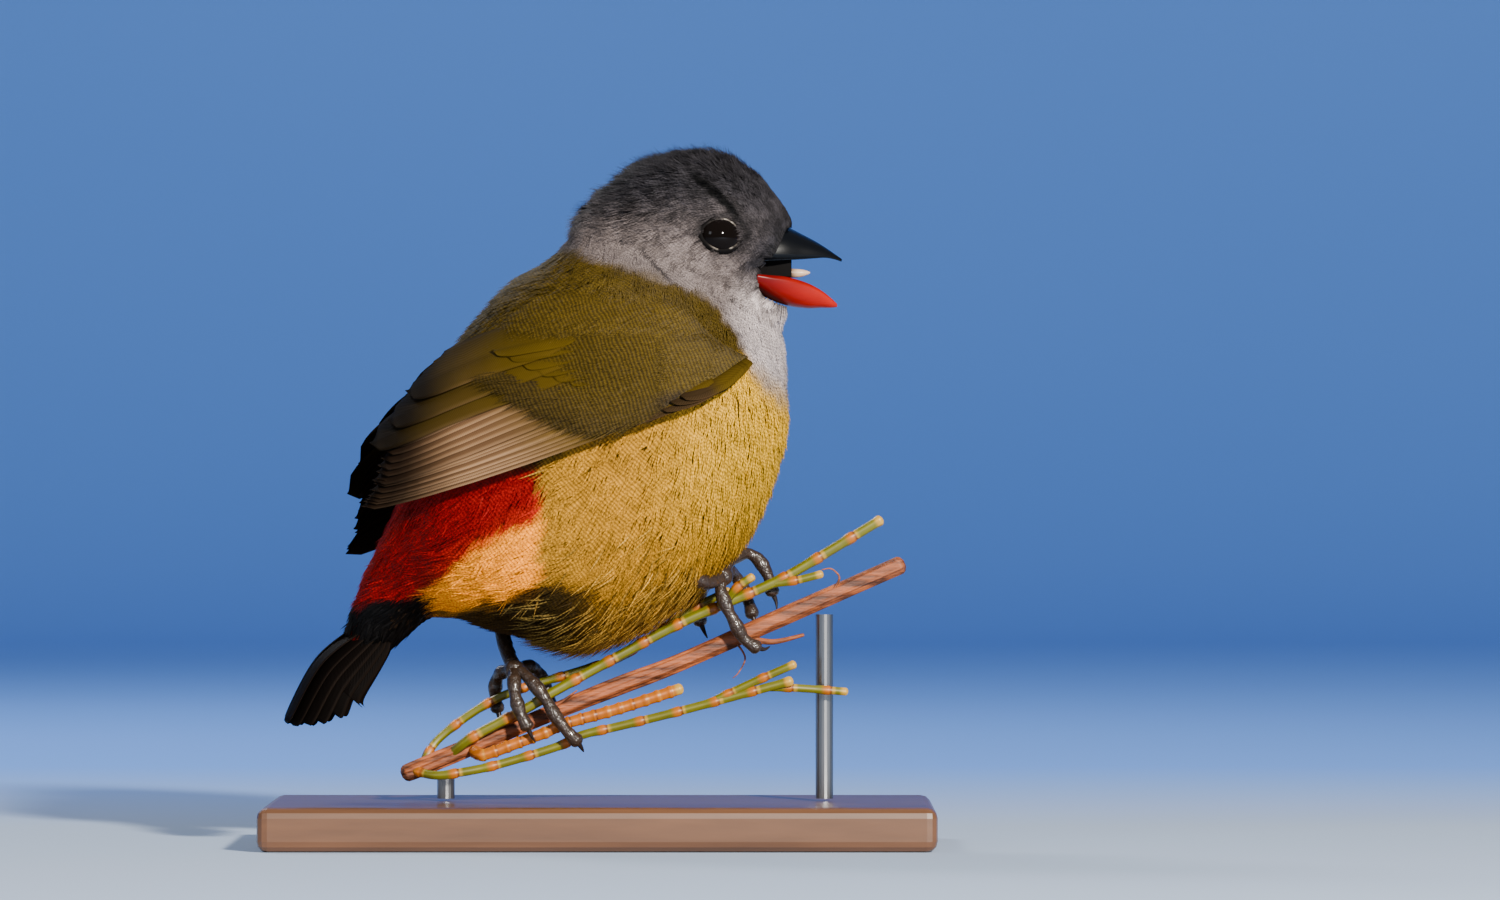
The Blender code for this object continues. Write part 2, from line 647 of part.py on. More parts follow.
def tail_vane(name, pair, side, group):
    """One tail feather, rolled further down the farther it is from the middle."""
    along = Vector((TAIL_DIRECTION[0], 0.0, TAIL_DIRECTION[1]))
    upward = Vector((TAIL_DIRECTION[1], 0.0, -TAIL_DIRECTION[0]))
    origin = Vector((TAIL_ROOT[0], 0.0, TAIL_ROOT[1]))
    uneven = 0.15 if side > 0 else 0.0
    root = (4.9, 0.4 + 0.3 * pair, 1.5 - 0.4 * pair)
    middle = (11.0, 1.2 + 0.45 * pair, 2.9 - 0.85 * pair - uneven)
    tip = (18.7 - 0.27 * pair ** 2, 1.5 + 0.5 * pair, 1.3 - 0.75 * pair - uneven)
    roll = math.radians(14 + 11 * pair)
    across = Vector((0.0, side * math.cos(roll), 0.0)) - upward * math.sin(roll)
    normal = Vector((0.0, side * math.sin(roll), 0.0)) + upward * math.cos(roll)
    rings = []
    for part, breadth in VANE_SHAPE:
        place = catmull_rom((root, middle, tip), part * 2)
        centre = origin + along * place[0] + Vector((0.0, side * place[1], 0.0)) + upward * place[2]
        half = TAIL_HALF_WIDTH * max(breadth, 0.4)
        thick = normal * VANE_THICKNESS / 2 * (1.0 if part < 0.95 else 0.6)
        outer = centre + across * half
        inner = centre - across * half
        crown = centre + normal * 0.15
        rings.append([
            outer + thick, crown + thick, inner + thick,
            inner - thick, crown - thick, outer - thick,
        ])
    return loft(name, rings, group, mirrored_strips=(3, 4), flat_caps=True)


def build_tail(group):
    rings = []
    for number, (back, belly, width) in enumerate(TAIL_CORE):
        top = Vector((back[0], 0.0, back[1]))
        bottom = Vector((belly[0], 0.0, belly[1]))
        upright = (top - bottom) / 2
        backward = Vector((-upright.z, 0.0, upright.x)).normalized()
        middle = (top + bottom) / 2 + (backward * GAP if number == 0 else Vector())
        ring = []
        for j in range(16):
            angle = 2 * math.pi * j / 16
            ring.append(middle + upright * math.cos(angle) + Vector((0.0, width * math.sin(angle), 0.0)))
        rings.append(ring)
    core = loft("tail", rings, group)
    vanes = [
        tail_vane(f"tail_vane_{pair}_{side}", pair, side, group)
        for pair in range(TAIL_PAIRS)
        for side in (NEAR, FAR)
    ]
    return combine(core, vanes, "UNION")


def build_head(group):
    head = body_form("head", NECK_END, BODY_END, 18, group)
    shape = bmesh.new()
    shape.from_mesh(head.data)
    tree = BVHTree.FromBMesh(shape)
    shape.free()
    eyes = []
    rims = []
    hollows = []
    for word, side in (("right", NEAR), ("left", FAR)):
        surface, normal = side_point(tree, *EYE_AT, side)
        centre = surface + normal * (EYE_PROUD - EYE_RADIUS)
        rims.append(lid_ring("lid_" + word, surface + normal * (EYE_PROUD - 1.0), normal, group))
        eyes.append(ball("eye_" + word, centre, EYE_RADIUS, group))
        hollows.append(ball("eye_hollow_" + word, centre, EYE_RADIUS + GAP, group))
    combine(head, rims, "UNION")
    hollows.append(bill_form("upper_socket", UPPER_BILL, 0.0, True, group, GAP))
    hollows.append(bill_form("lower_socket", LOWER_BILL, 0.0, False, group, GAP))
    hollows.append(mouth_cutter(group))
    combine(head, hollows, "DIFFERENCE")
    return head, eyes


def build_bill(group):
    upper = bill_form("bill_upper", UPPER_BILL, PALATE_DEPTH, True, group)
    lower = bill_form("bill_lower", LOWER_BILL, TROUGH_DEPTH, False, group)
    pits = []
    for side in (NEAR, FAR):
        place = (NOSTRIL_AT[0], side * NOSTRIL_SIDE, NOSTRIL_AT[1])
        pits.append(ball("nostril", place, NOSTRIL_RADIUS, group, 10, 8))
    combine(upper, pits, "DIFFERENCE")
    path = smooth_path(TONGUE_PATH, 1.0)
    radii = [table(index / (len(path) - 1) * 3, tuple(enumerate(TONGUE_RADII))) for index in range(len(path))]
    tongue = tube("tongue", path, radii, group)
    return upper, lower, tongue


def build_torso(group):
    torso = body_form("torso", RUMP_END, TORSO_END, 18, group)
    thighs = []
    for word, (start, end, wide, narrow) in THIGHS.items():
        path = [Vector(start).lerp(Vector(end), part / 4) for part in range(5)]
        radii = [wide + (narrow - wide) * part / 4 for part in range(5)]
        thighs.append(tube("thigh_" + word, path, radii, group, 3))
    combine(torso, thighs, "UNION")
    reach = leg_reach("right", group) + leg_reach("left", group)
    return combine(torso, reach, "DIFFERENCE")


def toe_radii(count, start, end):
    """Radii along a toe, swollen at its pads."""
    radii = []
    for index in range(count):
        part = index / (count - 1)
        pads = 1.0 + 0.12 * math.cos(part * 6 * math.pi)
        radii.append((start + (end - start) * part) * pads)
    return radii


def trimmed(path, length):
    """The path without its first stretch of this length."""
    left = length
    path = [Vector(point) for point in path]
    while (path[1] - path[0]).length < left:
        left -= (path[1] - path[0]).length
        path.pop(0)
    path[0] = path[0].lerp(path[1], left / (path[1] - path[0]).length)
    return path


def toes_of(word):
    return {toe: paths for toe, paths in TOES.items() if toe.startswith(word)}


def foot_pieces(word, grow, group):
    """Knuckle and toes of one foot, each made thicker by the given amount."""
    pieces = [ball("foot_" + word, TARSI[word][-1], KNUCKLE_RADIUS + grow, group, 12, 8)]
    for toe, (toe_path, _) in toes_of(word).items():
        smooth = smooth_path(toe_path, 1.2)
        radii = [radius + grow for radius in toe_radii(len(smooth), TOE_RADIUS, TOE_TIP_RADIUS)]
        pieces.append(tube("toe_" + toe, smooth, radii, group))
    return pieces


def tarsus_form(word, grow, group):
    path = smooth_path(TARSI[word], 1.0)
    radii = toe_radii(len(path), TARSUS_RADIUS * 1.1 + grow, TARSUS_RADIUS + grow)
    if grow:
        path[0] = path[0] + (path[0] - path[1]) * grow
    return tube("tarsus_" + word, path, radii, group)


def leg_reach(word, group):
    """The leg and foot with the gap round them, for cutting the plumage clear."""
    return foot_pieces(word, GAP, group) + [tarsus_form(word, GAP, group)]


def perch_reach(group):
    """The stem and twigs with the gap round them, for cutting the toes clear."""
    reach = [tube("stem_reach", smooth_path(STEM_PATH, 2.6), stem_radii(GAP), group, 3)]
    for name, (radius, route) in TWIGS.items():
        path = smooth_path(route, TWIG_JOINT_SPACING / 2)
        reach.append(tube(name + "_reach", path, twig_radii(len(path), radius, GAP), group, 1))
    return reach


def build_leg(word, group):
    """Tarsus, foot and four claws of one leg."""
    tarsus = tarsus_form(word, 0.0, group)
    combine(tarsus, foot_pieces(word, GAP, group), "DIFFERENCE")
    made = [tarsus]
    for toe, (_, claw_path) in toes_of(word).items():
        smooth = trimmed(smooth_path(claw_path, 0.9), 1.5 * GAP)
        step = (CLAW_TIP_RADIUS - CLAW_RADIUS) / (len(smooth) - 1)
        radii = [CLAW_RADIUS + step * index for index in range(len(smooth))]
        made.append(tube("claw_" + toe, smooth, radii, group))
    foot, *toes = foot_pieces(word, 0.0, group)
    combine(foot, toes, "UNION")
    made.append(combine(foot, perch_reach(group), "DIFFERENCE"))
    return made


def stem_radii(grow=0.0):
    count = len(smooth_path(STEM_PATH, 2.6))
    return [STEM_RADIUS * (1.0 + 0.06 * math.sin(index * 1.7)) + grow for index in range(count)]


def twig_radii(count, radius, grow=0.0):
    return [radius * (1.0 + TWIG_JOINT_SWELL * (index % 2)) + grow for index in range(count)]


def build_perch(group):
    stem = tube("perch_stem", smooth_path(STEM_PATH, 2.6), stem_radii(), group, 3)
    twigs = []
    for name, (radius, route) in TWIGS.items():
        path = smooth_path(route, TWIG_JOINT_SPACING / 2)
        twig = tube(name, path, twig_radii(len(path), radius), group, 1)
        sides = []
        for side_route in SIDE_TWIGS.get(name, ()):
            path = smooth_path(side_route, TWIG_JOINT_SPACING / 2)
            sides.append(tube(name + "_side", path, twig_radii(len(path), SIDE_TWIG_RADIUS), group, 1))
        if sides:
            combine(twig, sides, "UNION")
        reach = tube("stem_reach", smooth_path(STEM_PATH, 2.6), stem_radii(GAP), group, 3)
        combine(twig, [reach], "DIFFERENCE")
        twigs.append(twig)
    return stem, twigs


def build_stand(group):
    shape = bmesh.new()
    bmesh.ops.create_cube(shape, size=1.0)
    bmesh.ops.scale(shape, vec=Vector((BASE_LENGTH, BASE_WIDTH, BASE_HEIGHT)) * MM, verts=shape.verts)
    bmesh.ops.translate(shape, vec=(0.0, 0.0, BASE_HEIGHT / 2 * MM), verts=shape.verts)
    base = object_from_bmesh("stand_base", shape, group)
    rounding = base.modifiers.new("Rounded edges", "BEVEL")
    rounding.width = BASE_BEVEL * MM
    rounding.segments = 3
    stem = tuple((x, z) for x, _, z in STEM_PATH)
    rods = []
    for name, x in RODS.items():
        top = float(np.interp(x, [p[0] for p in stem], [p[1] for p in stem])) - STEM_RADIUS * 1.2 - 2 * GAP
        shape = bmesh.new()
        height = top - BASE_HEIGHT - GAP
        bmesh.ops.create_cone(
            shape, cap_ends=True, segments=20, radius1=ROD_RADIUS * MM, radius2=ROD_RADIUS * MM,
            depth=height * MM,
        )
        bmesh.ops.translate(
            shape, vec=Vector((x, 0.0, BASE_HEIGHT + GAP + height / 2)) * MM, verts=shape.verts,
        )
        rods.append(object_from_bmesh(name, shape, group))
    return base, rods


def paint(made, kind, materials):
    if kind not in materials:
        materials[kind] = make_material(kind)
    made.data.materials.clear()
    made.data.materials.append(materials[kind])


def main():
    clear_scene()
    group = make_collection(MODEL_NAME)
    materials = {}
    rump = body_form("rump", 0.0, RUMP_END, 6, group)
    paint(rump, "rump", materials)
    paint(build_torso(group), "torso", materials)
    paint(body_form("neck", TORSO_END, NECK_END, 6, group), "neck", materials)
    head, eyes = build_head(group)
    paint(head, "head", materials)
    for eye in eyes:
        paint(eye, "eye", materials)
    upper, lower, tongue = build_bill(group)
    paint(upper, "bill_upper", materials)
    paint(lower, "bill_lower", materials)
    paint(tongue, "tongue", materials)
    paint(build_wing("wing_right", NEAR, 0.0, 0.0, group), "wing", materials)
    paint(build_wing("wing_left", FAR, FAR_WING_DROOP, FAR_WING_SHIFT, group), "wing", materials)
    paint(build_tail(group), "tail", materials)
    for word in ("right", "left"):
        for made in build_leg(word, group):
            paint(made, "claw" if made.name.startswith("claw") else "leg", materials)
    stem, twigs = build_perch(group)
    paint(stem, "stem", materials)
    for twig in twigs:
        paint(twig, "twig", materials)
    base, rods = build_stand(group)
    paint(base, "base", materials)
    for rod in rods:
        paint(rod, "rod", materials)


main()
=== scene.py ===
import math

import bmesh
import bpy
import numpy as np
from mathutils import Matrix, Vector


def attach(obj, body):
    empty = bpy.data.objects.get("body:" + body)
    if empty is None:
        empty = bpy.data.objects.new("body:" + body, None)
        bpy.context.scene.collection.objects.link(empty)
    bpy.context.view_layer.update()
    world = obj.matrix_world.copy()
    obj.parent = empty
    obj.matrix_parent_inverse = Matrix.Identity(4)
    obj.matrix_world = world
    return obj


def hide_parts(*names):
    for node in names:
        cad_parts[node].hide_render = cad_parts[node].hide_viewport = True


bl_info = {
    "name": "Yellow-bellied waxbill on a perch",
    "version": (1, 0, 0),
    "blender": (4, 5, 0),
    "location": "View3D > Sidebar > Waxbill",
    "description": "Plumage, bill, feet, perch, stand and stage of a life-size still waxbill",
    "category": "Add Mesh",
}

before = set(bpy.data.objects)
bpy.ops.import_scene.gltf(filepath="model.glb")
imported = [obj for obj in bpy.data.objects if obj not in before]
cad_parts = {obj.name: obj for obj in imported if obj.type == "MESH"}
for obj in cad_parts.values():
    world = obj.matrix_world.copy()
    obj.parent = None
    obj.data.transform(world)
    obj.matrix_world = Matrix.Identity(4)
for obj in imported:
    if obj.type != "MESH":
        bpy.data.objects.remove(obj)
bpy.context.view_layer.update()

# Lengths in this file are millimetres until a mesh is written, and side-view places are (x, z).
MM = 0.001
SIDES = {"right": -1.0, "left": 1.0}
TURN = 2.0 * math.pi

# Body, from the tail's root to the bill: back x and z, belly x and z, half width, draw-in.
BODY_STATIONS = np.array((
    (-28.3, 26.5, -22.0, 23.6, 3.8, 0.0),
    (-26.4, 31.6, -18.2, 25.9, 6.0, 0.0),
    (-24.4, 35.9, -14.0, 25.6, 8.6, 0.0),
    (-22.2, 41.0, -8.0, 23.8, 12.0, 0.0),
    (-20.4, 48.0, 0.0, 22.6, 14.8, 0.0),
    (-17.0, 56.0, 9.5, 27.2, 16.2, 0.0),
    (-11.4, 62.9, 17.0, 34.6, 16.4, 0.0),
    (-5.7, 66.9, 20.9, 45.0, 15.2, 0.0),
    (-3.5, 69.5, 21.2, 53.5, 12.0, 0.05),
    (-2.3, 71.6, 20.9, 58.3, 9.6, 0.15),
    (1.1, 74.9, 21.1, 59.5, 8.4, 0.3),
    (5.0, 77.6, 21.3, 60.2, 7.9, 0.4),
    (9.4, 78.75, 21.45, 60.8, 7.2, 0.5),
    (13.6, 78.4, 21.55, 61.3, 6.0, 0.5),
    (17.6, 76.3, 21.65, 61.7, 4.6, 0.45),
    (20.4, 73.2, 21.7, 62.1, 3.5, 0.35),
    (21.8, 70.9, 21.75, 62.6, 2.8, 0.3),
))
BODY_POWER = 2.2
# Depth of the coat, by station: deep on the body, thin on the face.
COAT_DEPTH = np.array((
    0.6, 0.9, 1.1, 1.3, 1.4, 1.4, 1.3, 1.1, 0.9, 0.8, 0.65, 0.55, 0.45, 0.38, 0.3, 0.22, 0.15,
))[:, None]
COAT_LENGTH = np.array((
    3.6, 3.8, 3.8, 3.6, 3.4, 3.2, 3.0, 2.6, 2.3, 2.0, 1.8, 1.6, 1.4, 1.2, 1.0, 0.8, 0.6,
))[:, None]
COAT_WIDTH = np.array((
    0.3, 0.3, 0.3, 0.28, 0.27, 0.26, 0.25, 0.24, 0.22, 0.2, 0.19, 0.17, 0.15, 0.14, 0.12, 0.11, 0.1,
))[:, None]
# Pieces of the coat: name, first and last station, tufts, whether they are short, slot.
COAT_PIECES = (
    ("coat_rump", 0.0, 3.0, 12500, False, "rump_plumage"),
    ("coat_belly", 3.0, 4.8, 19500, False, "belly_plumage"),
    ("coat_flank", 4.8, 6.2, 19500, False, "belly_plumage"),
    ("coat_breast", 6.2, 7.6, 19500, False, "belly_plumage"),
    ("coat_neck", 7.6, 9.2, 36000, True, "neck_plumage"),
    ("coat_nape", 9.2, 11.0, 36000, True, "head_plumage"),
    ("coat_crown", 11.0, 13.0, 26000, True, "head_plumage"),
    ("coat_face", 13.0, 16.0, 28000, True, "head_plumage"),
)

# Eye, and the half length, half height, slant and least lift of the opening in its lids.
EYE_AT = (13.9, 69.3)
EYE_RADIUS = 2.55
EYE_PROUD = 0.5
LID_WIDE = 2.24
LID_HIGH = 1.74
LID_TILT = 0.12
LID_LOWEST = 1.5
LID_STEPS = 72


def srgb(red, green, blue):
    """Linear colour of a colour given in 0 to 255 display values."""
    values = np.array((red, green, blue)) / 255.0
    return tuple(np.where(values <= 0.04045, values / 12.92, ((values + 0.055) / 1.055) ** 2.4))


def catmull(values, places):
    """Smooth curve through the rows of values, read at fractional row numbers."""
    last = len(values) - 1
    places = np.clip(np.asarray(places, float), 0.0, last)
    start = np.minimum(places.astype(int), last - 1)
    u = (places - start)[:, None]
    a, b, c, d = (values[np.clip(start + k, 0, last)] for k in (-1, 0, 1, 2))
    return 0.5 * (
        2 * b + (c - a) * u + (2 * a - 5 * b + 4 * c - d) * u ** 2
        + (3 * b - a - 3 * c + d) * u ** 3
    )


def table(x, places, values):
    """Smooth reading of a table at any x, with places in rising order."""
    places = np.asarray(places, float)
    x = np.clip(np.asarray(x, float), places[0], places[-1])
    start = np.clip(np.searchsorted(places, x, side="right") - 1, 0, len(places) - 2)
    u = (x - places[start]) / (places[start + 1] - places[start])
    return catmull(np.asarray(values, float)[:, None], (start + u).ravel()).reshape(np.shape(x))


def smooth_step(low, high, x):
    u = np.clip((x - low) / (high - low), 0.0, 1.0)
    return u * u * (3 - 2 * u)


def unit(vectors):
    return vectors / np.maximum(np.linalg.norm(vectors, axis=-1, keepdims=True), 1e-9)


def turned(lie, normal, angle):
    """Each feather's lie, turned about the skin's normal."""
    return lie * np.cos(angle)[:, None] + np.cross(normal, lie) * np.sin(angle)[:, None]


def lay(base, over, share):
    """Colours of base with over laid on them by a share for each point."""
    return base * (1 - share[:, None]) + over * share[:, None]


def wander(points, scale, seed):
    """Cheap smooth noise from -1 to 1: a few waves in seeded directions."""
    rng = np.random.default_rng(seed)
    total = np.zeros(len(points))
    for _ in range(6):
        wave = rng.normal(size=3) / scale
        total += np.sin(points @ wave + rng.uniform(0, TURN))
    return total / 6.0 * 1.6


def body_point(t, angle, inset=0.0):
    """Points of the body's form, by station number and angle from the back, set in by inset."""
    row = catmull(BODY_STATIONS, t)
    back = np.stack((row[:, 0], np.zeros(len(row)), row[:, 1]), 1)
    belly = np.stack((row[:, 2], np.zeros(len(row)), row[:, 3]), 1)
    upright = (back - belly) / 2
    height = np.linalg.norm(upright, axis=1, keepdims=True)
    upright = upright * (height - np.reshape(inset, (-1, 1))) / height
    along = np.sign(np.cos(angle)) * np.abs(np.cos(angle)) ** (2 / BODY_POWER)
    across = np.sign(np.sin(angle)) * np.abs(np.sin(angle)) ** (2 / BODY_POWER)
    lower = smooth_step(0.0, 1.0, -along * 1.4)
    width = (row[:, 4] - inset) * across * (1 - row[:, 5] * lower)
    points = (back + belly) / 2 + upright * along[:, None]
    points[:, 1] += width
    return points


def body_frame(t, angle, inset=0.0):
    """Point, outward normal and lie of the feathers (towards the tail) on the body."""
    step = 0.02
    last = len(BODY_STATIONS) - 1
    t_low = np.clip(t - step, 0, last)
    t_high = np.clip(t + step, 0, last)
    forward = body_point(t_high, angle, inset) - body_point(t_low, angle, inset)
    around = body_point(t, angle + step, inset) - body_point(t, angle - step, inset)
    normal = unit(np.cross(forward, around))
    place = body_point(t, angle, inset)
    row = catmull(BODY_STATIONS, t)
    centre = np.stack(((row[:, 0] + row[:, 2]) / 2, np.zeros(len(row)), (row[:, 1] + row[:, 3]) / 2), 1)
    facing = np.sign(np.sum(normal * (place - centre), axis=1, keepdims=True))
    return place, normal * np.where(facing == 0, 1, facing), unit(-forward)


def face_outwards(mesh):
    work = bmesh.new()
    work.from_mesh(mesh)
    bmesh.ops.recalc_face_normals(work, faces=work.faces[:])
    work.to_mesh(mesh)
    work.free()


def link_object(name, data):
    made = bpy.data.objects.new(name, data)
    bpy.context.scene.collection.objects.link(made)
    return made


def link_mesh(name, verts, faces, smooth=True):
    mesh = bpy.data.meshes.new(name)
    mesh.from_pydata(np.asarray(verts) * MM, [], [tuple(face) for face in faces])
    mesh.validate()
    face_outwards(mesh)
    if smooth:
        mesh.shade_smooth()
    return link_object(name, mesh)


def mesh_points(mesh):
    """A mesh's points, in millimetres."""
    points = np.empty(len(mesh.vertices) * 3, np.float32)
    mesh.vertices.foreach_get("co", points)
    return points.reshape(-1, 3).astype(float) / MM


def finish_piece(made, material, slot, *nodes):
    """Gives a piece its material and its body, and hides the solids that it stands for; the slot is not
    used.
    """
    made.data.materials.clear()
    made.data.materials.append(material)
    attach(made, "root")
    if nodes:
        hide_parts(*nodes)
    return made


def set_attribute(mesh, name, values, kind="FLOAT"):
    layer = mesh.attributes.new(name, kind, "POINT")
    values = np.asarray(values, np.float32)
    if kind == "FLOAT_COLOR":
        values = np.concatenate((values, np.ones((len(values), 1), np.float32)), 1)
    key = {"FLOAT": "value", "FLOAT_COLOR": "color", "FLOAT_VECTOR": "vector"}[kind]
    layer.data.foreach_set(key, values.ravel())


def grid_faces(rows, columns, wrap=True):
    faces = []
    for i in range(rows - 1):
        for j in range(columns if wrap else columns - 1):
            k = (j + 1) % columns
            low, high = i * columns, (i + 1) * columns
            faces.append((low + j, low + k, high + k, high + j))
    return faces


def closed_grid(rows, columns):
    """Rings closed at each end by a point; the two points come after the rings."""
    faces = grid_faces(rows, columns)
    last, count = (rows - 1) * columns, rows * columns
    for j in range(columns):
        k = (j + 1) % columns
        faces.append((k, j, count))
        faces.append((last + j, last + k, count + 1))
    return faces


def shell_faces(rows, columns, start=0):
    """An outer sheet of points and the inner one that follows it, closed along their rim."""
    size = rows * columns
    faces = []
    for a, b, c, d in grid_faces(rows, columns, False):
        faces.append((start + a, start + b, start + c, start + d))
        faces.append((start + size + d, start + size + c, start + size + b, start + size + a))
    rim = [j for j in range(columns)] + [i * columns + columns - 1 for i in range(1, rows)]
    rim += [(rows - 1) * columns + j for j in range(columns - 2, -1, -1)]
    rim += [i * columns for i in range(rows - 2, 0, -1)]
    for here, there in zip(rim, rim[1:] + rim[:1]):
        faces.append((start + there, start + here, start + here + size, start + there + size))
    return faces


def tube_verts(path, radii, sides, ripple=None):
    """Rings round a path; ripple(step, angle) multiplies the radius."""
    path = np.asarray(path, float)
    tangents = unit(np.gradient(path, axis=0))
    side = unit(np.cross(tangents[0], (0.31, 0.83, 0.46)))
    rings = []
    angles = np.arange(sides) * TURN / sides
    for step, (place, tangent, radius) in enumerate(zip(path, tangents, radii)):
        side = unit(side - tangent * np.dot(side, tangent))
        other = np.cross(tangent, side)
        factor = ripple(step, angles) if ripple else np.ones(sides)
        rings.append(place + (radius * factor)[:, None] * (
            np.cos(angles)[:, None] * side + np.sin(angles)[:, None] * other))
    return np.concatenate(rings)


# A tube's rounded ends: rings past its path, as shares of the radius, and their radii.
END_REACH = (0.35, 0.6)
END_RADII = (0.8, 0.35)


def add_tube(name, path, radii, sides=12, ripple=None):
    """A closed tube with rounded ends."""
    path = np.asarray(path, float)
    reach = np.array(END_REACH)[:, None]
    first = path[0] - unit(path[1] - path[0]) * radii[0] * reach[::-1]
    last = path[-1] + unit(path[-1] - path[-2]) * radii[-1] * reach
    path = np.concatenate((first, path, last))
    ends = np.array(END_RADII)
    radii = np.concatenate((radii[0] * ends[::-1], radii, radii[-1] * ends))
    verts = np.concatenate((tube_verts(path, radii, sides, ripple), path[:1], path[-1:]))
    return link_mesh(name, verts, closed_grid(len(path), sides))


def smooth_path(points, spacing):
    points = np.asarray(points, float)
    lengths = np.linalg.norm(np.diff(points, axis=0), axis=1)
    places = [0.0]
    for number, length in enumerate(lengths):
        steps = max(1, round(length / spacing))
        places += list(number + np.arange(1, steps + 1) / steps)
    return catmull(points, places)


# Materials

def new_material(name, roughness, specular=0.5, coat=0.0, metallic=0.0):
    material = bpy.data.materials.new(name)
    material.use_nodes = True
    surface = material.node_tree.nodes["Principled BSDF"]
    for key, value in (
        ("Roughness", roughness), ("Specular IOR Level", specular), ("Coat Weight", coat),
        ("Metallic", metallic),
    ):
        surface.inputs[key].default_value = value
    return material


def add_node(tree, kind, values=None, **settings):
    node = tree.nodes.new(kind)
    for key, value in settings.items():
        setattr(node, key, value)
    for key, value in (values or {}).items():
        node.inputs[key].default_value = value
    return node


def math_node(tree, operation, first, second=None, third=None):
    node = tree.nodes.new("ShaderNodeMath")
    node.operation = operation
    for socket, value in zip(node.inputs, (first, second, third)):
        if value is None:
            continue
        if isinstance(value, (int, float)):
            socket.default_value = value
        else:
            tree.links.new(value, socket)
    return node.outputs[0]


def mix_colours(tree, factor, first, second, blend="MIX"):
    node = add_node(tree, "ShaderNodeMix", data_type="RGBA", blend_type=blend)
    for key, value in (("Factor", factor), (6, first), (7, second)):
        socket = node.inputs[key]
        if isinstance(value, bpy.types.NodeSocket):
            tree.links.new(value, socket)
        elif isinstance(value, (int, float)):
            socket.default_value = value
        else:
            socket.default_value = (*value[:3], 1.0)
    return node.outputs[2]


def read_attribute(tree, name, output="Fac"):
    return add_node(tree, "ShaderNodeAttribute", attribute_name=name).outputs[output]


def position(tree):
    return tree.nodes.new("ShaderNodeNewGeometry").outputs["Position"]


def stretched(tree, scale, pitch=0.0):
    """Position stretched along its axes and turned about the y axis."""
    node = add_node(tree, "ShaderNodeMapping", {"Scale": scale, "Rotation": (0.0, pitch, 0.0)})
    tree.links.new(position(tree), node.inputs["Vector"])
    return node.outputs[0]


def noise(tree, scale, detail=3.0, vector=None, roughness=0.5):
    node = add_node(tree, "ShaderNodeTexNoise", {"Scale": scale, "Detail": detail, "Roughness": roughness})
    tree.links.new(vector or position(tree), node.inputs["Vector"])
    return node.outputs["Fac"]


def spread_out(tree, value, low, high):
    """0 to 1 as the value goes from low to high."""
    node = add_node(tree, "ShaderNodeMapRange", {"From Min": low, "From Max": high})
    tree.links.new(value, node.inputs["Value"])
    return node.outputs[0]


def scale_colour(tree, colour, factor):
    node = add_node(tree, "ShaderNodeVectorMath", operation="SCALE")
    tree.links.new(colour, node.inputs[0])
    tree.links.new(factor, node.inputs["Scale"])
    return node.outputs[0]


def finish_surface(material, colour, height=None, strength=0.0, distance=0.0):
    """Links a material's colour and, where there is a height, its relief in metres."""
    tree = material.node_tree
    surface = tree.nodes["Principled BSDF"]
    tree.links.new(colour, surface.inputs["Base Color"])
    if height is not None:
        bump = add_node(tree, "ShaderNodeBump", {"Strength": strength, "Distance": distance})
        tree.links.new(height, bump.inputs["Height"])
        tree.links.new(bump.outputs[0], surface.inputs["Normal"])
    return material


def make_feather_group():
    """Shader group: the markings with barbs, fine bars and lighter tips laid over them."""
    group = bpy.data.node_groups.new("Feather surface", "ShaderNodeTree")
    face = group.interface
    for name, kind, default in (
        ("Markings", "NodeSocketColor", (0.5, 0.5, 0.5, 1.0)), ("Lie", "NodeSocketFloat", 0.0),
        ("Reach", "NodeSocketFloat", 0.5), ("Tuft", "NodeSocketFloat", 0.5),
        ("Bar strength", "NodeSocketFloat", 0.3), ("Bar spacing", "NodeSocketFloat", 0.5),
        ("Root shade", "NodeSocketFloat", 0.45), ("Variation", "NodeSocketFloat", 0.35),
    ):
        face.new_socket(name, in_out="INPUT", socket_type=kind).default_value = default
    face.new_socket("Colour", in_out="OUTPUT", socket_type="NodeSocketColor")
    inputs = group.nodes.new("NodeGroupInput").outputs
    result = group.nodes.new("NodeGroupOutput").inputs
    soft = noise(group, 260.0, 3.0)
    phase = math_node(group, "DIVIDE", inputs["Lie"], inputs["Bar spacing"])
    phase = math_node(group, "ADD", phase, math_node(group, "MULTIPLY", soft, 2.4))
    wave = math_node(group, "SINE", math_node(group, "MULTIPLY", phase, TURN))
    bar = math_node(group, "MULTIPLY_ADD", wave, 0.5, 0.5)
    dark = math_node(group, "MULTIPLY", bar, inputs["Bar strength"])
    factor = math_node(group, "SUBTRACT", 1.0, dark)
    spread = math_node(group, "SUBTRACT", inputs["Tuft"], 0.5)
    spread = math_node(group, "MULTIPLY_ADD", spread, inputs["Variation"], 1.0)
    factor = math_node(group, "MULTIPLY", factor, spread)
    depth = math_node(group, "SUBTRACT", 1.0, inputs["Reach"])
    depth = math_node(group, "MULTIPLY", depth, inputs["Root shade"])
    factor = math_node(group, "MULTIPLY", factor, math_node(group, "SUBTRACT", 1.0, depth))
    patch = math_node(group, "MULTIPLY_ADD", noise(group, 90.0, 2.0), 0.5, 0.76)
    factor = math_node(group, "MULTIPLY", factor, patch)
    group.links.new(scale_colour(group, inputs["Markings"], factor), result["Colour"])
    return group


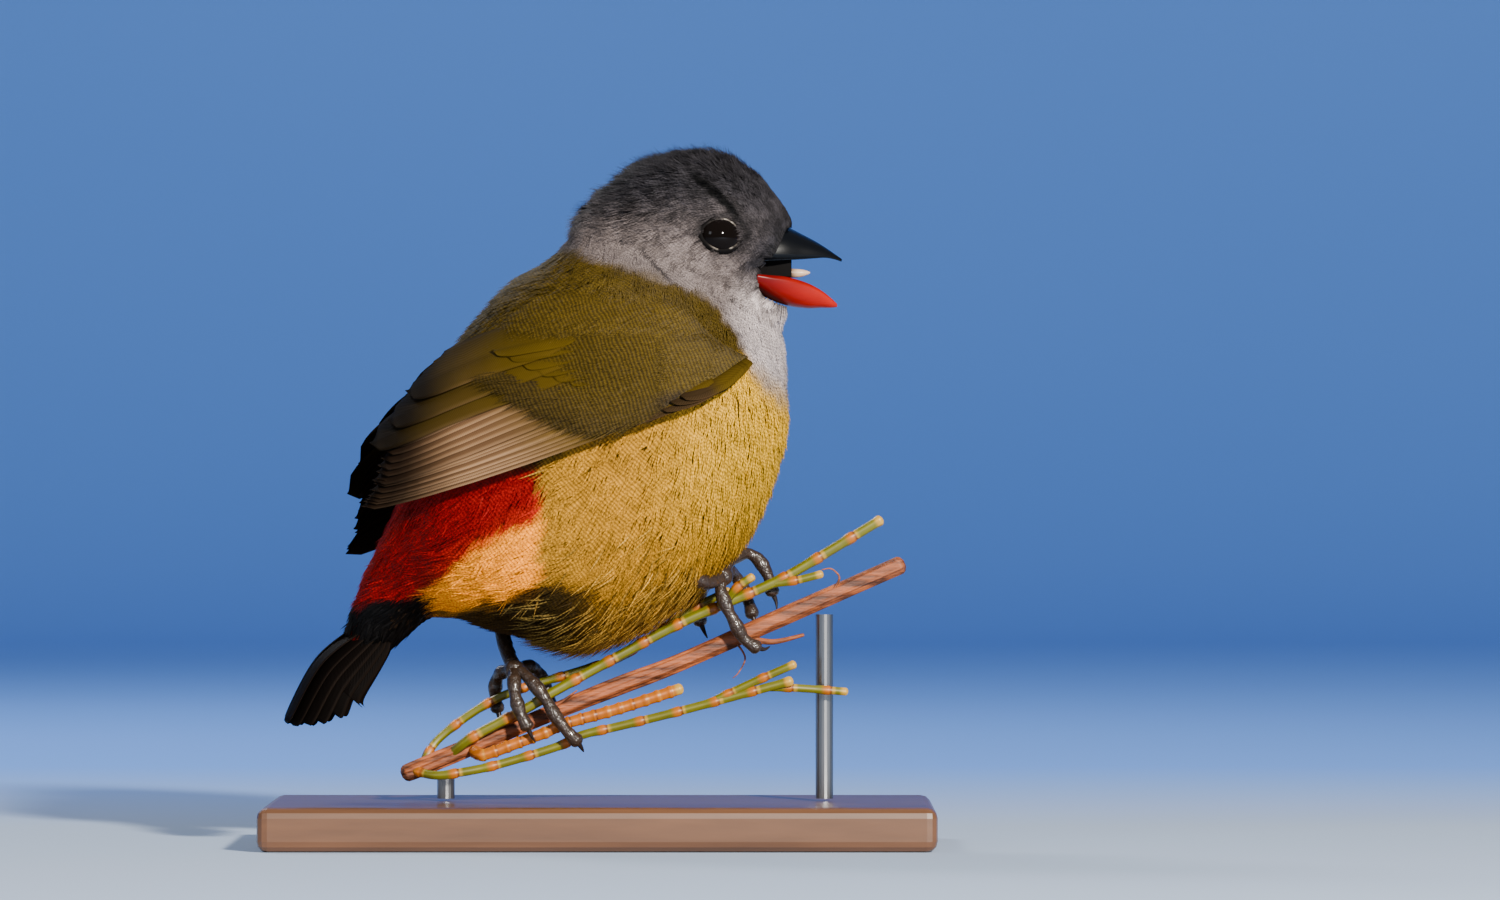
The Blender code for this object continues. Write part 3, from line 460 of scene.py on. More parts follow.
def plumage_material(name, bars=0.3, spacing=0.5, root_shade=0.45, variation=0.35, roughness=0.62):
    """Plumage whose markings, lie and reach come with the mesh."""
    material = bpy.data.materials.get(name)
    if material:
        return material
    material = new_material(name, roughness=roughness, specular=0.12)
    tree = material.node_tree
    shared = bpy.data.node_groups.get("Feather surface") or make_feather_group()
    group = add_node(tree, "ShaderNodeGroup", node_tree=shared)
    for key, value in (
        ("Bar strength", bars), ("Bar spacing", spacing), ("Root shade", root_shade),
        ("Variation", variation),
    ):
        group.inputs[key].default_value = value
    tree.links.new(read_attribute(tree, "plumage", "Color"), group.inputs["Markings"])
    for mask in ("Lie", "Reach", "Tuft"):
        tree.links.new(read_attribute(tree, mask.lower()), group.inputs[mask])
    return finish_surface(material, group.outputs["Colour"])


# Markings

# Painted shade in the crease behind the cheek, by height.
CREASE_Z = (61.1, 63.1, 65.5, 67.4)
CREASE_X = (12.4, 8.75, 6.4, 4.7)
# Lower border of the grey head, by x.
BORDER_X = (-14.0, -6.25, -3.0, 0.8, 7.4, 11.7, 14.3, 15.9, 16.8, 18.5, 22.5)
BORDER_Z = (69.0, 67.4, 67.3, 65.9, 63.9, 61.9, 59.4, 56.4, 53.8, 51.8, 50.0)
# Upper edge of the shade under the vent, and lower edge of the red, both by x.
VENT_EDGE_X = (-19.2, -14.2, -8.4, -5.5, 0.0)
VENT_EDGE_Z = (26.9, 27.7, 29.4, 30.6, 29.0)
RED_LINE_X = (-30.0, -23.6, -18.9, -15.9, -9.8, -6.8, -3.0)
RED_LINE_Z = (26.0, 26.6, 29.0, 31.9, 35.3, 37.0, 40.0)


def markings(points, back):
    """Linear colours of the plumage at body points; back is 1 on the back, 0 on the belly."""
    x, _, z = points.T
    blur = wander(points, 2.2, 5)
    fine = wander(points, 0.7, 6)
    breast = smooth_step(2.0, 19.0, x) * smooth_step(24.0, 44.0, z)
    result = lay(colour("belly"), colour("breast"), breast)
    # Painted shade: the lower belly darkens towards the underside, partly its own darker olive.
    low = smooth_step(28.5, 23.5, z + blur * 0.8) * smooth_step(12.0, 4.0, x)
    result = lay(result, colour("shaded_under_belly"), low * 0.6)
    # Painted shade in the hollow between the vent patch and the lower belly.
    hollow = smooth_step(1.2, 0.45, np.hypot((x + 5.5) / 6.5, (z - 27.6) / 3.8) + fine * 0.15)
    result = lay(result, colour("shaded_under_belly") * 0.2, hollow * 0.85)
    wing_line = 54.7 + (x - 16.1) * 0.365 + 1.0
    above = smooth_step(-1.2, 1.2, z - wing_line + blur * 0.6) * smooth_step(17.8, 15.6, x)
    result = lay(result, colour("mantle"), np.maximum(above, smooth_step(0.7, 0.85, back)))
    red_line = table(x, RED_LINE_X, RED_LINE_Z)
    rear = smooth_step(-5.6, -7.2, x + blur * 0.9 + fine * 0.5)
    vent = rear * smooth_step(-0.8, 0.8, z - (28.9 + 0.16 * (x + 7.0)) + fine * 0.5)
    vent = vent * smooth_step(4.0, 1.0, z - red_line)
    # The vent's orange is raised 1.9 times past its own colour: painted light on the vent's bulge.
    result = lay(result, colour("vent") * 1.9, vent)
    # Painted shade under the vent, below the edge given by VENT_EDGE_X and VENT_EDGE_Z.
    shade_under_vent = z - np.interp(x, VENT_EDGE_X, VENT_EDGE_Z) + fine * 0.4
    shade_under_vent = smooth_step(0.4, -0.9, shade_under_vent) * smooth_step(1.0, -4.0, x)
    result = lay(result, colour("shaded_under_belly") * 0.2, shade_under_vent * 0.92)
    red = rear * smooth_step(-0.7, 0.9, z - red_line + fine * 0.6 + blur * 0.5)
    red = red * smooth_step(44.5, 42.0, z + blur)
    bright = smooth_step(3.5, 0.2, z - red_line) * smooth_step(-24.0, -12.0, x)
    result = lay(result, lay(colour("rump"), colour("rump_edge"), bright), red)
    tail_root = smooth_step(0.5, -0.6, z - 27.6 - 0.17 * (x + 27.3) + fine * 0.4)
    tail_root = tail_root * smooth_step(-17.5, -19.5, x)
    result = lay(result, colour("tail"), tail_root)
    softness = 0.7 + 2.6 * smooth_step(14.0, 19.0, x)
    grey = smooth_step(-1.0, 1.0, (z - table(x, BORDER_X, BORDER_Z) + fine * 0.5) / softness)
    crown = smooth_step(67.0, 75.0, z + blur * 0.6)
    head = lay(colour("cheek"), colour("crown"), crown)
    throat = smooth_step(7.5, 2.0, np.hypot(x - 20.0, (z - 57.5) * 0.8) + blur * 0.6)
    head = lay(head, colour("throat"), throat)
    line = x - np.interp(z, FEATHER_LINE_Z, FEATHER_LINE_X)
    lore = smooth_step(-3.4, -0.9, line + fine * 0.3) * smooth_step(64.6, 66.0, z)
    lore = lore * smooth_step(73.5, 70.5, z)
    head = lay(head, colour("lore") * 0.6, lore)
    # Painted shade at the mouth's corner.
    gape_shade = smooth_step(-0.9, -0.2, line) * smooth_step(66.6, 66.0, z) * smooth_step(62.6, 64.0, z)
    head = lay(head, colour("lore"), gape_shade * 0.7)
    # Painted shade along the crease behind the cheek.
    crease_shade = np.abs(x - np.interp(z, CREASE_Z, CREASE_X)) + np.abs(fine) * 0.25
    crease_shade = smooth_step(0.6, 0.15, crease_shade) * smooth_step(60.8, 61.6, z) * smooth_step(68.0, 67.0, z)
    head = lay(head, colour("lore"), crease_shade * 0.85)
    mask = smooth_step(13.5, 17.0, x + blur * 0.6) * smooth_step(61.5, 65.5, z + fine * 0.6)
    head = lay(head, colour("crown") * 0.9, mask * 0.75)
    # Painted shade in the brow groove.
    head = lay(head, colour("lore") * 0.25, brow_groove(points))
    # Painted shade in the eye's socket, round the eye.
    socket = np.hypot((x - EYE_AT[0]) / 2.7, (z - EYE_AT[1]) / 2.1) + fine * 0.08
    head = lay(head, colour("lore"), smooth_step(1.4, 1.0, socket) * 0.7)
    return lay(result, head, grey)


def lie_table(rows=240, columns=72):
    """Distance along the body from the tail, for reading at any station and angle."""
    t = np.linspace(0, len(BODY_STATIONS) - 1, rows)
    angles = np.arange(columns) * TURN / columns
    grid = np.stack([body_point(t, np.full(rows, angle)) for angle in angles], 1)
    steps = np.linalg.norm(np.diff(grid, axis=0), axis=2)
    return np.concatenate((np.zeros((1, columns)), np.cumsum(steps, axis=0))), grid


LIE, BODY_GRID = lie_table()


def lie_at(t, angle):
    rows, columns = LIE.shape
    row = t / (len(BODY_STATIONS) - 1) * (rows - 1)
    low = np.minimum(row.astype(int), rows - 2)
    column = (angle / TURN * columns).astype(int) % columns
    part = row - low
    return LIE[low, column] * (1 - part) + LIE[low + 1, column] * part


def back_share(angle):
    """1 on the back, 0 on the belly, by angle round the body."""
    return smooth_step(-0.45, 0.35, np.cos(angle))


def unwrap(t, angle):
    """Place of a body point on a flat unwrap of the body."""
    along = t / (len(BODY_STATIONS) - 1)
    return np.stack((0.02 + 0.96 * (angle % TURN) / TURN, 0.02 + 0.96 * along), 1)


# Coat

# A long blade bends half way along; a short one is a plain tapered wedge. Each is closed.
LONG_BLADE = np.array((
    (0, 1, 4), (0, 4, 3), (1, 2, 5), (1, 5, 4), (2, 0, 3), (2, 3, 5),
    (3, 4, 6), (4, 5, 6), (5, 3, 6), (1, 0, 2),
))
SHORT_BLADE = np.array(((0, 1, 3), (1, 2, 3), (2, 0, 3), (1, 0, 2)))
# Of each corner: place across (-1 to 1), place along (0 to 1), height over the blade's line.
LONG_CORNERS = np.array((
    (-0.8, 0, 0), (0.8, 0, 0), (0, 0, 0.6), (-1, 0.5, 0), (1, 0.5, 0), (0, 0.5, 1), (0, 1, 0),
))
SHORT_CORNERS = np.array(((-1, 0, 0), (1, 0, 0), (0, 0, 1), (0, 1, 0)))
# Side of a blade's own patch on the unwrap.
PATCH = 0.003
# First station of the head's coat.
HEAD_START = 9.0
# Clumps of feathers draw their numbers from this many rows, picked by a mix of their cell's numbers.
CLUMP_ROWS = 8191
CLUMP_MIX = np.array((73856093, 19349663, 83492791))


def add_blades(name, root, normal, lie, length, width, depth, colour, lie_place, flat, tuft, short=False,
               tilt=0.12):
    """One mesh of closed tapered blades that rise from the skin and lie down along it."""
    count = len(root)
    lie = unit(lie - normal * np.sum(lie * normal, axis=1, keepdims=True))
    across = np.cross(normal, lie)
    shape, corners = (SHORT_BLADE, SHORT_CORNERS) if short else (LONG_BLADE, LONG_CORNERS)
    size = len(corners)
    side, along, height = (column[None, :, None] for column in corners.T)
    root, normal, lie, across = (vectors[:, None] for vectors in (root, normal, lie, across))
    length, width, depth = (np.reshape(value, (-1, 1, 1)) for value in (length, width, depth))
    rise = depth * 0.95 * along ** 0.55
    verts = root + lie * length * along + normal * (rise + height * width * 0.35)
    verts = (verts + across * side * width / 2).reshape(-1, 3)
    rng = np.random.default_rng(count)
    lean, roll = rng.normal(0, tilt, (2, count, 1, 1))
    shading = unit(normal + lie * (0.3 + lean) + across * (side * 0.5 + roll)).reshape(-1, 3)
    triangles = (shape[None] + (np.arange(count) * size)[:, None, None]).reshape(-1, 3)
    mesh = bpy.data.meshes.new(name)
    mesh.vertices.add(len(verts))
    mesh.vertices.foreach_set("co", (verts * MM).astype(np.float32).ravel())
    mesh.loops.add(triangles.size)
    mesh.loops.foreach_set("vertex_index", triangles.astype(np.int32).ravel())
    mesh.polygons.add(len(triangles))
    mesh.polygons.foreach_set("loop_start", np.arange(len(triangles), dtype=np.int32) * 3)
    mesh.update(calc_edges=True)
    mesh.validate()
    mesh.shade_smooth()
    mesh.normals_split_custom_set_from_vertices(shading.astype(np.float32))
    reach = np.tile(corners[:, 1], count)
    set_attribute(mesh, "plumage", np.repeat(colour, size, axis=0), "FLOAT_COLOR")
    set_attribute(mesh, "lie", np.repeat(lie_place, size) - reach * np.repeat(length.ravel(), size))
    set_attribute(mesh, "reach", reach)
    set_attribute(mesh, "tuft", np.repeat(tuft, size))
    corner = np.stack((corners[:, 0] / 2, corners[:, 1] - 0.5 + corners[:, 2] * 0.1), 1)
    places = (flat[:, None] + corner[None] * PATCH).reshape(-1, 2)
    layer = mesh.uv_layers.new(name="OFBake")
    layer.uv.foreach_set("vector", places[triangles.ravel()].astype(np.float32).ravel())
    return link_object(name, mesh)


def scatter_on_body(count, low, high, rng, keep=None):
    """Stations and angles spread over a length of the body, evenly by area and coat width."""
    rows, columns = 160, 72
    t = np.linspace(low, high, rows + 1)
    angles = np.arange(columns + 1) * TURN / columns
    grid = np.stack([body_point(t, np.full(rows + 1, angle)) for angle in angles], 1)
    one = grid[1:, :-1] - grid[:-1, :-1]
    two = grid[:-1, 1:] - grid[:-1, :-1]
    area = np.linalg.norm(np.cross(one, two), axis=2)
    middle = (t[1:] + t[:-1]) / 2
    fineness = (catmull(COAT_WIDTH, middle) * catmull(COAT_LENGTH, middle)) ** 0.9
    weight = area / fineness
    if keep is not None:
        centres = (grid[1:, 1:] + grid[:-1, :-1]) / 2
        weight = weight * keep(centres.reshape(-1, 3)).reshape(weight.shape)
    weight = weight.ravel() / weight.sum()
    cell = rng.choice(len(weight), size=count, p=weight)
    row, column = np.divmod(cell, columns)
    t = middle[row] + (rng.random(count) - 0.5) * (high - low) / rows
    angle = (column + rng.random(count)) * TURN / columns
    return np.clip(t, low, high), angle


# Where the face's feathers end round the bill and the mouth, by height.
FEATHER_LINE_Z = (60.8, 61.3, 62.1, 63.2, 64.7, 65.5, 66.2, 66.9, 68.5, 70.3)
FEATHER_LINE_X = (21.6, 20.2, 18.7, 18.1, 18.1, 18.3, 18.7, 19.6, 20.3, 21.3)


def clear_of_head_parts(points):
    """1 where a feather may root: not under the eyes, nor where the bill and mouth are."""
    x, _, z = points.T
    eye = np.hypot((x - EYE_AT[0]) / 2.45, (z - EYE_AT[1]) / 1.85) > 1.0
    bare = (x > np.interp(z, FEATHER_LINE_Z, FEATHER_LINE_X))
    bare = bare & (z > FEATHER_LINE_Z[0]) & (z < FEATHER_LINE_Z[-1])
    return (eye & ~bare).astype(float)


def brow_groove(points):
    """1 in the groove that runs from the crown to the front of the eye; the coat is lowered there and
    painted shade is laid in it.
    """
    x, _, z = points.T
    across = np.abs((z - 75.85) + (x - 10.8) * 0.86 + 0.12 * np.maximum(x - 14.0, 0.0) ** 2)
    return smooth_step(0.85, 0.3, across) * smooth_step(9.0, 11.5, x) * smooth_step(16.6, 15.4, x)


def clump_values(place, size, seed):
    """Three random numbers from 0 to 1 for each blade, the same through a clump."""
    cell = np.floor(place / size + wander(place, size * 2, seed)[:, None] * 0.5).astype(np.int64)
    key = np.abs(cell @ CLUMP_MIX) % CLUMP_ROWS
    return np.random.default_rng(seed).random((CLUMP_ROWS, 3))[key].T


def add_coat(name, count, low, high, seed, slot, material, short, keep=None):
    """A piece of the coat, from one station to another."""
    rng = np.random.default_rng(seed)
    on_head = low > HEAD_START
    t, angle = scatter_on_body(count, low, high, rng, keep)
    depth = catmull(COAT_DEPTH, t)[:, 0]
    place, normal, lie = body_frame(t, angle, depth)
    turn, height, tone = clump_values(place, 0.8 if on_head else 1.3, 90)
    swirl = wander(place, 5.0, seed + 1) * 0.28 + rng.normal(0, 0.13, count) + (turn - 0.5) * 0.55
    lie = turned(lie, normal, swirl)
    length = catmull(COAT_LENGTH, t)[:, 0] * rng.uniform(0.7, 1.15, count) * sizes().coat_length
    width = catmull(COAT_WIDTH, t)[:, 0] * rng.uniform(0.7, 1.25, count)
    rise = depth * rng.uniform(0.7, 1.1, count) * (0.8 + 0.35 * height)
    crest = smooth_step(0.0, 0.7, np.cos(angle)) * smooth_step(8.0, 9.5, t) * smooth_step(15.0, 13.0, t)
    rise = rise + crest * (smooth_step(0.5, 1.0, height) * 0.8 + (rng.random(count) < 0.1) * 0.7)
    rise = rise * (1 - 0.9 * brow_groove(place) * (t > HEAD_START))
    tones = markings(place + lie * (length * 0.6)[:, None], back_share(angle))
    made = add_blades(
        name, place, normal, lie, length, width, rise, tones, lie_at(t, angle),
        unwrap(t, angle), 0.4 * rng.random(count) + 0.6 * tone, short, 0.42 if on_head else 0.16,
    )
    return finish_piece(made, material, slot)


class WaxbillSizes(bpy.types.PropertyGroup):
    coat_length: bpy.props.FloatProperty(
        name="Coat length", description="Length of the body feathers, as a share of the usual", default=1.0,
        min=0.3, max=2.0, subtype="FACTOR")
    coat_share: bpy.props.FloatProperty(
        name="Coat density", description="Number of tufts on the body, as a share of the usual",
        default=1.0, min=0.05, max=1.0, subtype="FACTOR")
    wing_blades: bpy.props.IntProperty(
        name="Wing tufts", description="Number of small covert tufts on each wing", default=16000, min=500)
    scapulars: bpy.props.IntProperty(
        name="Scapulars", description="Number of tufts over the upper edge of each wing", default=4200,
        min=100)


def colour_property(name, description, colour):
    return bpy.props.FloatVectorProperty(
        name=name, description=description, default=srgb(*colour), size=3, min=0.0, max=1.0,
        subtype="COLOR")


class WaxbillColours(bpy.types.PropertyGroup):
    crown: colour_property("Crown", "Slate grey of the crown", (62, 59, 64))
    cheek: colour_property("Cheek", "Grey of the cheeks and neck", (132, 119, 116))
    throat: colour_property("Throat", "Pinkish white of the throat", (230, 214, 212))
    lore: colour_property("Lores", "Dark feathers round the bill", (30, 28, 31))
    mantle: colour_property("Mantle", "Olive of the back and wing coverts", (84, 66, 10))
    belly: colour_property("Belly", "Golden olive of the flanks", (208, 146, 36))
    breast: colour_property("Breast", "Bright yellow of the breast", (252, 192, 40))
    shaded_under_belly: colour_property("Under belly", "Shaded olive of the lower belly", (112, 84, 22))
    rump: colour_property("Rump", "Deep red of the rump", (160, 5, 3))
    rump_edge: colour_property("Rump edge", "Bright red where the rump meets the vent", (214, 40, 10))
    vent: colour_property("Vent", "Orange buff beside the vent", (255, 150, 6))
    tail: colour_property("Tail", "Brown black of the tail", (10, 7, 6))
    flight: colour_property("Flight feathers", "Brown grey of the flight feathers", (92, 66, 44))
    flight_edge: colour_property("Flight edges", "Pale edges of the flight feathers", (182, 142, 104))
    tertial: colour_property("Tertials", "Olive brown of the innermost wing feathers", (64, 49, 17))
    alula: colour_property(
        "Wing edge", "Dark brown of the feathers along the wing's front edge", (46, 34, 20))
    lower_bill: colour_property("Lower bill", "Red of the lower bill", (98, 1, 1))
    leg: colour_property("Legs", "Dark grey brown of the legs", (44, 31, 22))
    stem: colour_property("Stem", "Pinkish brown of the perch's stem", (134, 70, 34))
    twig: colour_property("Twigs", "Olive green of the twigs", (104, 102, 10))
    joint: colour_property("Twig joints", "Orange of the twigs' joints", (182, 98, 2))
    wood: colour_property("Base wood", "Walnut of the stand's base", (92, 60, 38))


class StageSettings(bpy.types.PropertyGroup):
    key_power: bpy.props.FloatProperty(
        name="Key light", description="Power of the key light", default=31.5, unit="POWER", min=0.0)
    camera_distance: bpy.props.FloatProperty(
        name="Camera distance", description="From the camera to the bird", default=1.2, min=0.3,
        unit="LENGTH")


def sizes():
    return bpy.context.scene.waxbill_sizes


def colour(name):
    """One of the panel's colours."""
    return np.array(getattr(bpy.context.scene.waxbill_colours, name))


# Skin

def build_skin():
    """One skin from tail to bill, inside the coat by the coat's depth, open for eyes and mouth."""
    rows, columns = 150, 80
    t = np.repeat(np.linspace(0, len(BODY_STATIONS) - 1, rows), columns)
    angle = np.tile(np.arange(columns) * TURN / columns, rows)
    verts, _, _ = body_frame(t, angle, catmull(COAT_DEPTH, t)[:, 0])
    verts = np.concatenate((verts, verts[:columns].mean(0)[None], verts[-columns:].mean(0)[None]))
    made = link_mesh("skin", verts, closed_grid(rows, columns))
    points = mesh_points(made.data)
    share = np.concatenate((back_share(angle), (1.0, 0.5)))
    # The skin takes the markings darkened to 0.6: painted shade deep in the coat, between the tufts.
    set_attribute(made.data, "plumage", markings(points, share) * 0.6, "FLOAT_COLOR")
    set_attribute(made.data, "lie", np.concatenate((lie_at(t, angle), (0.0, 60.0))))
    for mask in ("reach", "tuft"):
        set_attribute(made.data, mask, np.full(len(points), 0.5))
    cutters = []
    for side in SIDES.values():
        centre, _ = eye_centre(side)
        cutters.append(add_ball("eye_cut", centre, EYE_RADIUS - 0.08, 24, 16))
        cutters.append(add_mouth_cut(side))
    cutters += [add_side_cut(outline) for outline in BILL_SIDES]
    cutters.append(add_bill_half("upper_room", UPPER_BILL, True, 0.0, BILL_ROOM))
    cutters.append(add_bill_half("lower_room", LOWER_BILL, False, 0.0, BILL_ROOM))
    for cutter in cutters:
        step = made.modifiers.new("Open", "BOOLEAN")
        step.operation = "DIFFERENCE"
        step.object = cutter
        step.solver = "EXACT"
    apply_modifiers(made)
    paint_shade_in_cuts(made.data, points)
    for cutter in cutters:
        bpy.data.objects.remove(cutter, do_unlink=True)
    material = plumage_material("Skin under the coat", 0.2, 0.5, 0.3, 0.2, 0.8)
    finish_piece(made, material, "belly_plumage", "head", "neck", "torso", "rump")


# Heights between which the openings' walls are the mouth's, and over which they aren't the chin's.
MOUTH_LOW = 64.3
MOUTH_HIGH = 67.0


def paint_shade_in_cuts(mesh, before):
    """Paints shade on the walls of the openings, the points that weren't in the skin before the cuts: near
    black in the mouth, dark above it, plain grey below.
    """
    old = {tuple(key) for key in np.round(before * 1000).astype(int)}
    now = np.round(mesh_points(mesh) * 1000).astype(int)
    colours = np.empty(len(now) * 4, np.float32)
    layer = mesh.attributes["plumage"].data
    layer.foreach_get("color", colours)
    colours = colours.reshape(-1, 4)
    fresh = np.array([tuple(key) not in old for key in now])
    above = now[:, 2] / 1000 > MOUTH_LOW
    mouth = above & (now[:, 2] / 1000 < MOUTH_HIGH)
    # Walls below the mouth keep a plain grey; those above it get painted shade, near black in the mouth.
    colours[fresh, :3] = srgb(112, 106, 103)
    colours[fresh & above, :3] = srgb(34, 31, 31)
    colours[fresh & mouth, :3] = srgb(6, 3, 3)
    layer.foreach_set("color", colours.ravel())


def apply_modifiers(made):
    bpy.context.view_layer.update()
    evaluated = made.evaluated_get(bpy.context.evaluated_depsgraph_get())
    mesh = bpy.data.meshes.new_from_object(evaluated)
    made.modifiers.clear()
    made.data = mesh


def body_side_point(x, z, side):
    """Point and outward normal of the body's form at a side-view place."""
    rows, columns = BODY_GRID.shape[:2]
    flat = BODY_GRID.reshape(-1, 3)
    near = flat[:, 1] * side > 0.5
    distance = np.hypot(flat[:, 0] - x, flat[:, 2] - z) + np.where(near, 0, 1e3)
    row, column = divmod(int(np.argmin(distance)), columns)
    t = np.array([row / (rows - 1) * (len(BODY_STATIONS) - 1)])
    angle = np.array([column * TURN / columns])
    best = None
    for dt in np.linspace(-0.1, 0.1, 21):
        for da in np.linspace(-0.1, 0.1, 21):
            place, normal, _ = body_frame(t + dt, angle + da)
            gap = np.hypot(place[0, 0] - x, place[0, 2] - z)
            if best is None or gap < best[0]:
                best = (gap, place[0], normal[0])
    return best[1], best[2]


def eye_centre(side):
    place, normal = body_side_point(*EYE_AT, side)
    return place + normal * (EYE_PROUD - EYE_RADIUS), normal


def add_ball(name, centre, radius, segments=40, rings=26):
    theta = np.linspace(0, math.pi, rings + 1)[1:-1]
    phi = np.arange(segments) * TURN / segments
    verts = np.stack((
        np.outer(np.sin(theta), np.cos(phi)), np.outer(np.sin(theta), np.sin(phi)),
        np.outer(np.cos(theta), np.ones(segments)),
    ), 2).reshape(-1, 3)
    verts = np.concatenate((verts, ((0, 0, 1.0), (0, 0, -1.0)))) * radius + np.asarray(centre)
    faces = [tuple(reversed(face)) for face in closed_grid(rings - 1, segments)]
    return link_mesh(name, verts, faces)


# Opening between the jaws, by x: its top, bottom and the half width of the wall left in it, painted dark as
# shade.
MOUTH_CUT = ((17.7, 65.8, 65.3, 2.6), (19.0, 66.6, 64.5, 1.7), (24.0, 67.0, 64.2, 1.7))
# How far out from the middle the opening's cut goes.
MOUTH_REACH = 6.0
# Gap between the skin and the bill.
BILL_ROOM = 0.02
# Side views of the bill's halves where they stand clear of the feathers, and the cuts' half width.
BILL_SIDES = (
    ((18.15, 64.6), (18.0, 63.2), (18.7, 62.1), (20.3, 61.25), (21.6, 60.9), (25.0, 60.7),
     (25.0, 64.6)),
    ((19.4, 66.7), (20.0, 67.3), (20.6, 68.6), (21.1, 69.8), (21.9, 70.9), (25.0, 70.9),
     (25.0, 66.7)),
)
SIDE_REACH = 7.0


def add_side_cut(outline):
    """Clears the face from the sides of one half of the bill."""
    verts = [(x, y, z) for y in (-SIDE_REACH, SIDE_REACH) for x, z in outline]
    count = len(outline)
    faces = [(j, (j + 1) % count, (j + 1) % count + count, j + count) for j in range(count)]
    faces += [tuple(range(count)), tuple(reversed(range(count, 2 * count)))]
    return link_mesh("side_cut", verts, faces, smooth=False)


def add_mouth_cut(side):
    verts = []
    for x, top, bottom, wall in MOUTH_CUT:
        section = ((MOUTH_REACH, top), (wall, top), (wall, bottom), (MOUTH_REACH, bottom))
        verts += [(x, side * y, z) for y, z in section]
    faces = grid_faces(len(MOUTH_CUT), 4)
    last = len(verts) - 4
    faces += [(0, 1, 2, 3), (last + 3, last + 2, last + 1, last)]
    return link_mesh("mouth_cut", verts, faces, smooth=False)


# Bill

# Stations of each half, base to tip: upper x and z, lower x and z, half width.
UPPER_BILL = np.array((
    (19.4, 71.0, 18.6, 66.4, 3.9), (21.4, 70.2, 20.9, 66.5, 3.25), (23.2, 69.3, 22.9, 66.6, 2.4),
    (24.6, 68.55, 24.4, 66.7, 1.75), (25.8, 67.8, 25.65, 66.75, 1.15), (26.8, 67.1, 26.7, 66.55, 0.6),
    (27.5, 66.6, 27.45, 66.3, 0.2),
))
LOWER_BILL = np.array((
    (17.9, 64.8, 17.5, 63.0, 4.2), (19.3, 64.7, 19.3, 62.0, 3.9), (21.3, 64.5, 21.5, 61.25, 3.15),
    (23.4, 63.9, 23.6, 61.0, 2.2), (25.0, 63.1, 25.1, 61.05, 1.5), (26.2, 62.2, 26.25, 61.05, 0.85),
    (26.95, 61.5, 26.95, 61.15, 0.25),
))


def add_bill_half(name, stations, upward, hollow, grow=0.0):
    """Half of the bill as a closed shell, grown on every side where it is a cutter."""
    steps, arch, floor = 40, 25, 5
    rows = catmull(stations, np.linspace(0, len(stations) - 1, steps))
    verts = []
    for top_x, top_z, low_x, low_z, width in rows:
        top, low = np.array((top_x, 0.0, top_z + grow)), np.array((low_x, 0.0, low_z - grow))
        width += grow
        foot, crest = (low, top) if upward else (top, low)
        for j in range(arch):
            a = math.pi * j / (arch - 1)
            verts.append(foot + (crest - foot) * math.sin(a) ** 0.85 + (0, width * math.cos(a), 0))
        for j in range(1, floor + 1):
            share = j / (floor + 1)
            dip = hollow * math.sin(math.pi * share) ** 0.7
            verts.append(foot + (crest - foot) * dip + (0, -width * math.cos(math.pi * share) * 0.94, 0))
    columns = arch + floor
    faces = grid_faces(steps, columns)
    faces.append(tuple(reversed(range(columns))))
    faces.append(tuple(range((steps - 1) * columns, steps * columns)))
    if not upward:
        faces = [tuple(reversed(face)) for face in faces]
    return link_mesh(name, verts, faces)


def horn_material(name, colour, tip_colour=None, roughness=0.3, tip_start=19.5, tip_length=7.0):
    """Grained horn whose colour may change towards the tip, by x in millimetres."""
    material = new_material(name, roughness=roughness, specular=0.22)
    tree = material.node_tree
    split = tree.nodes.new("ShaderNodeSeparateXYZ")
    tree.links.new(position(tree), split.inputs[0])
    grain = noise(tree, 1.0, 4.0, stretched(tree, (180.0, 900.0, 900.0)))
    share = math_node(tree, "SUBTRACT", split.outputs["X"], tip_start * MM)
    share = math_node(tree, "DIVIDE", share, tip_length * MM)
    share = math_node(tree, "MINIMUM", math_node(tree, "MAXIMUM", share, 0.0), 1.0)
    tone = mix_colours(tree, share, colour, tip_colour or colour)
    tone = scale_colour(tree, tone, math_node(tree, "MULTIPLY_ADD", grain, 0.5, 0.75))
    return finish_surface(material, tone, grain, 0.25, 0.0001)


def build_bill():
    upper = add_bill_half("upper_bill", UPPER_BILL, True, 0.2)
    black = horn_material("Black horn", srgb(5, 6, 9), roughness=0.26)
    finish_piece(upper, black, "bill_upper", "bill_upper")
    lower = add_bill_half("lower_bill", LOWER_BILL, False, 0.4)
    red = horn_material("Red horn", colour("lower_bill"), srgb(158, 15, 1), 0.34)
    finish_piece(lower, red, "bill_lower", "bill_lower")
    path = smooth_path(((18.3, 0, 65.6), (20.2, 0, 65.35), (21.8, 0, 65.0), (23.8, 0, 65.05)), 0.3)
    radii = np.interp(np.linspace(0, 1, len(path)), (0, 0.4, 0.8, 1), (0.6, 0.62, 0.45, 0.12))
    tongue = add_tube("tongue_piece", path, radii, 14)
    # The tongue's base is painted dark red: shade inside the mouth; its tip keeps its pale pink.
    flesh = horn_material("Moist tongue", srgb(40, 12, 10), srgb(200, 168, 140), 0.25, 21.6, 0.9)
    finish_piece(tongue, flesh, "tongue", "tongue")


# Eyes

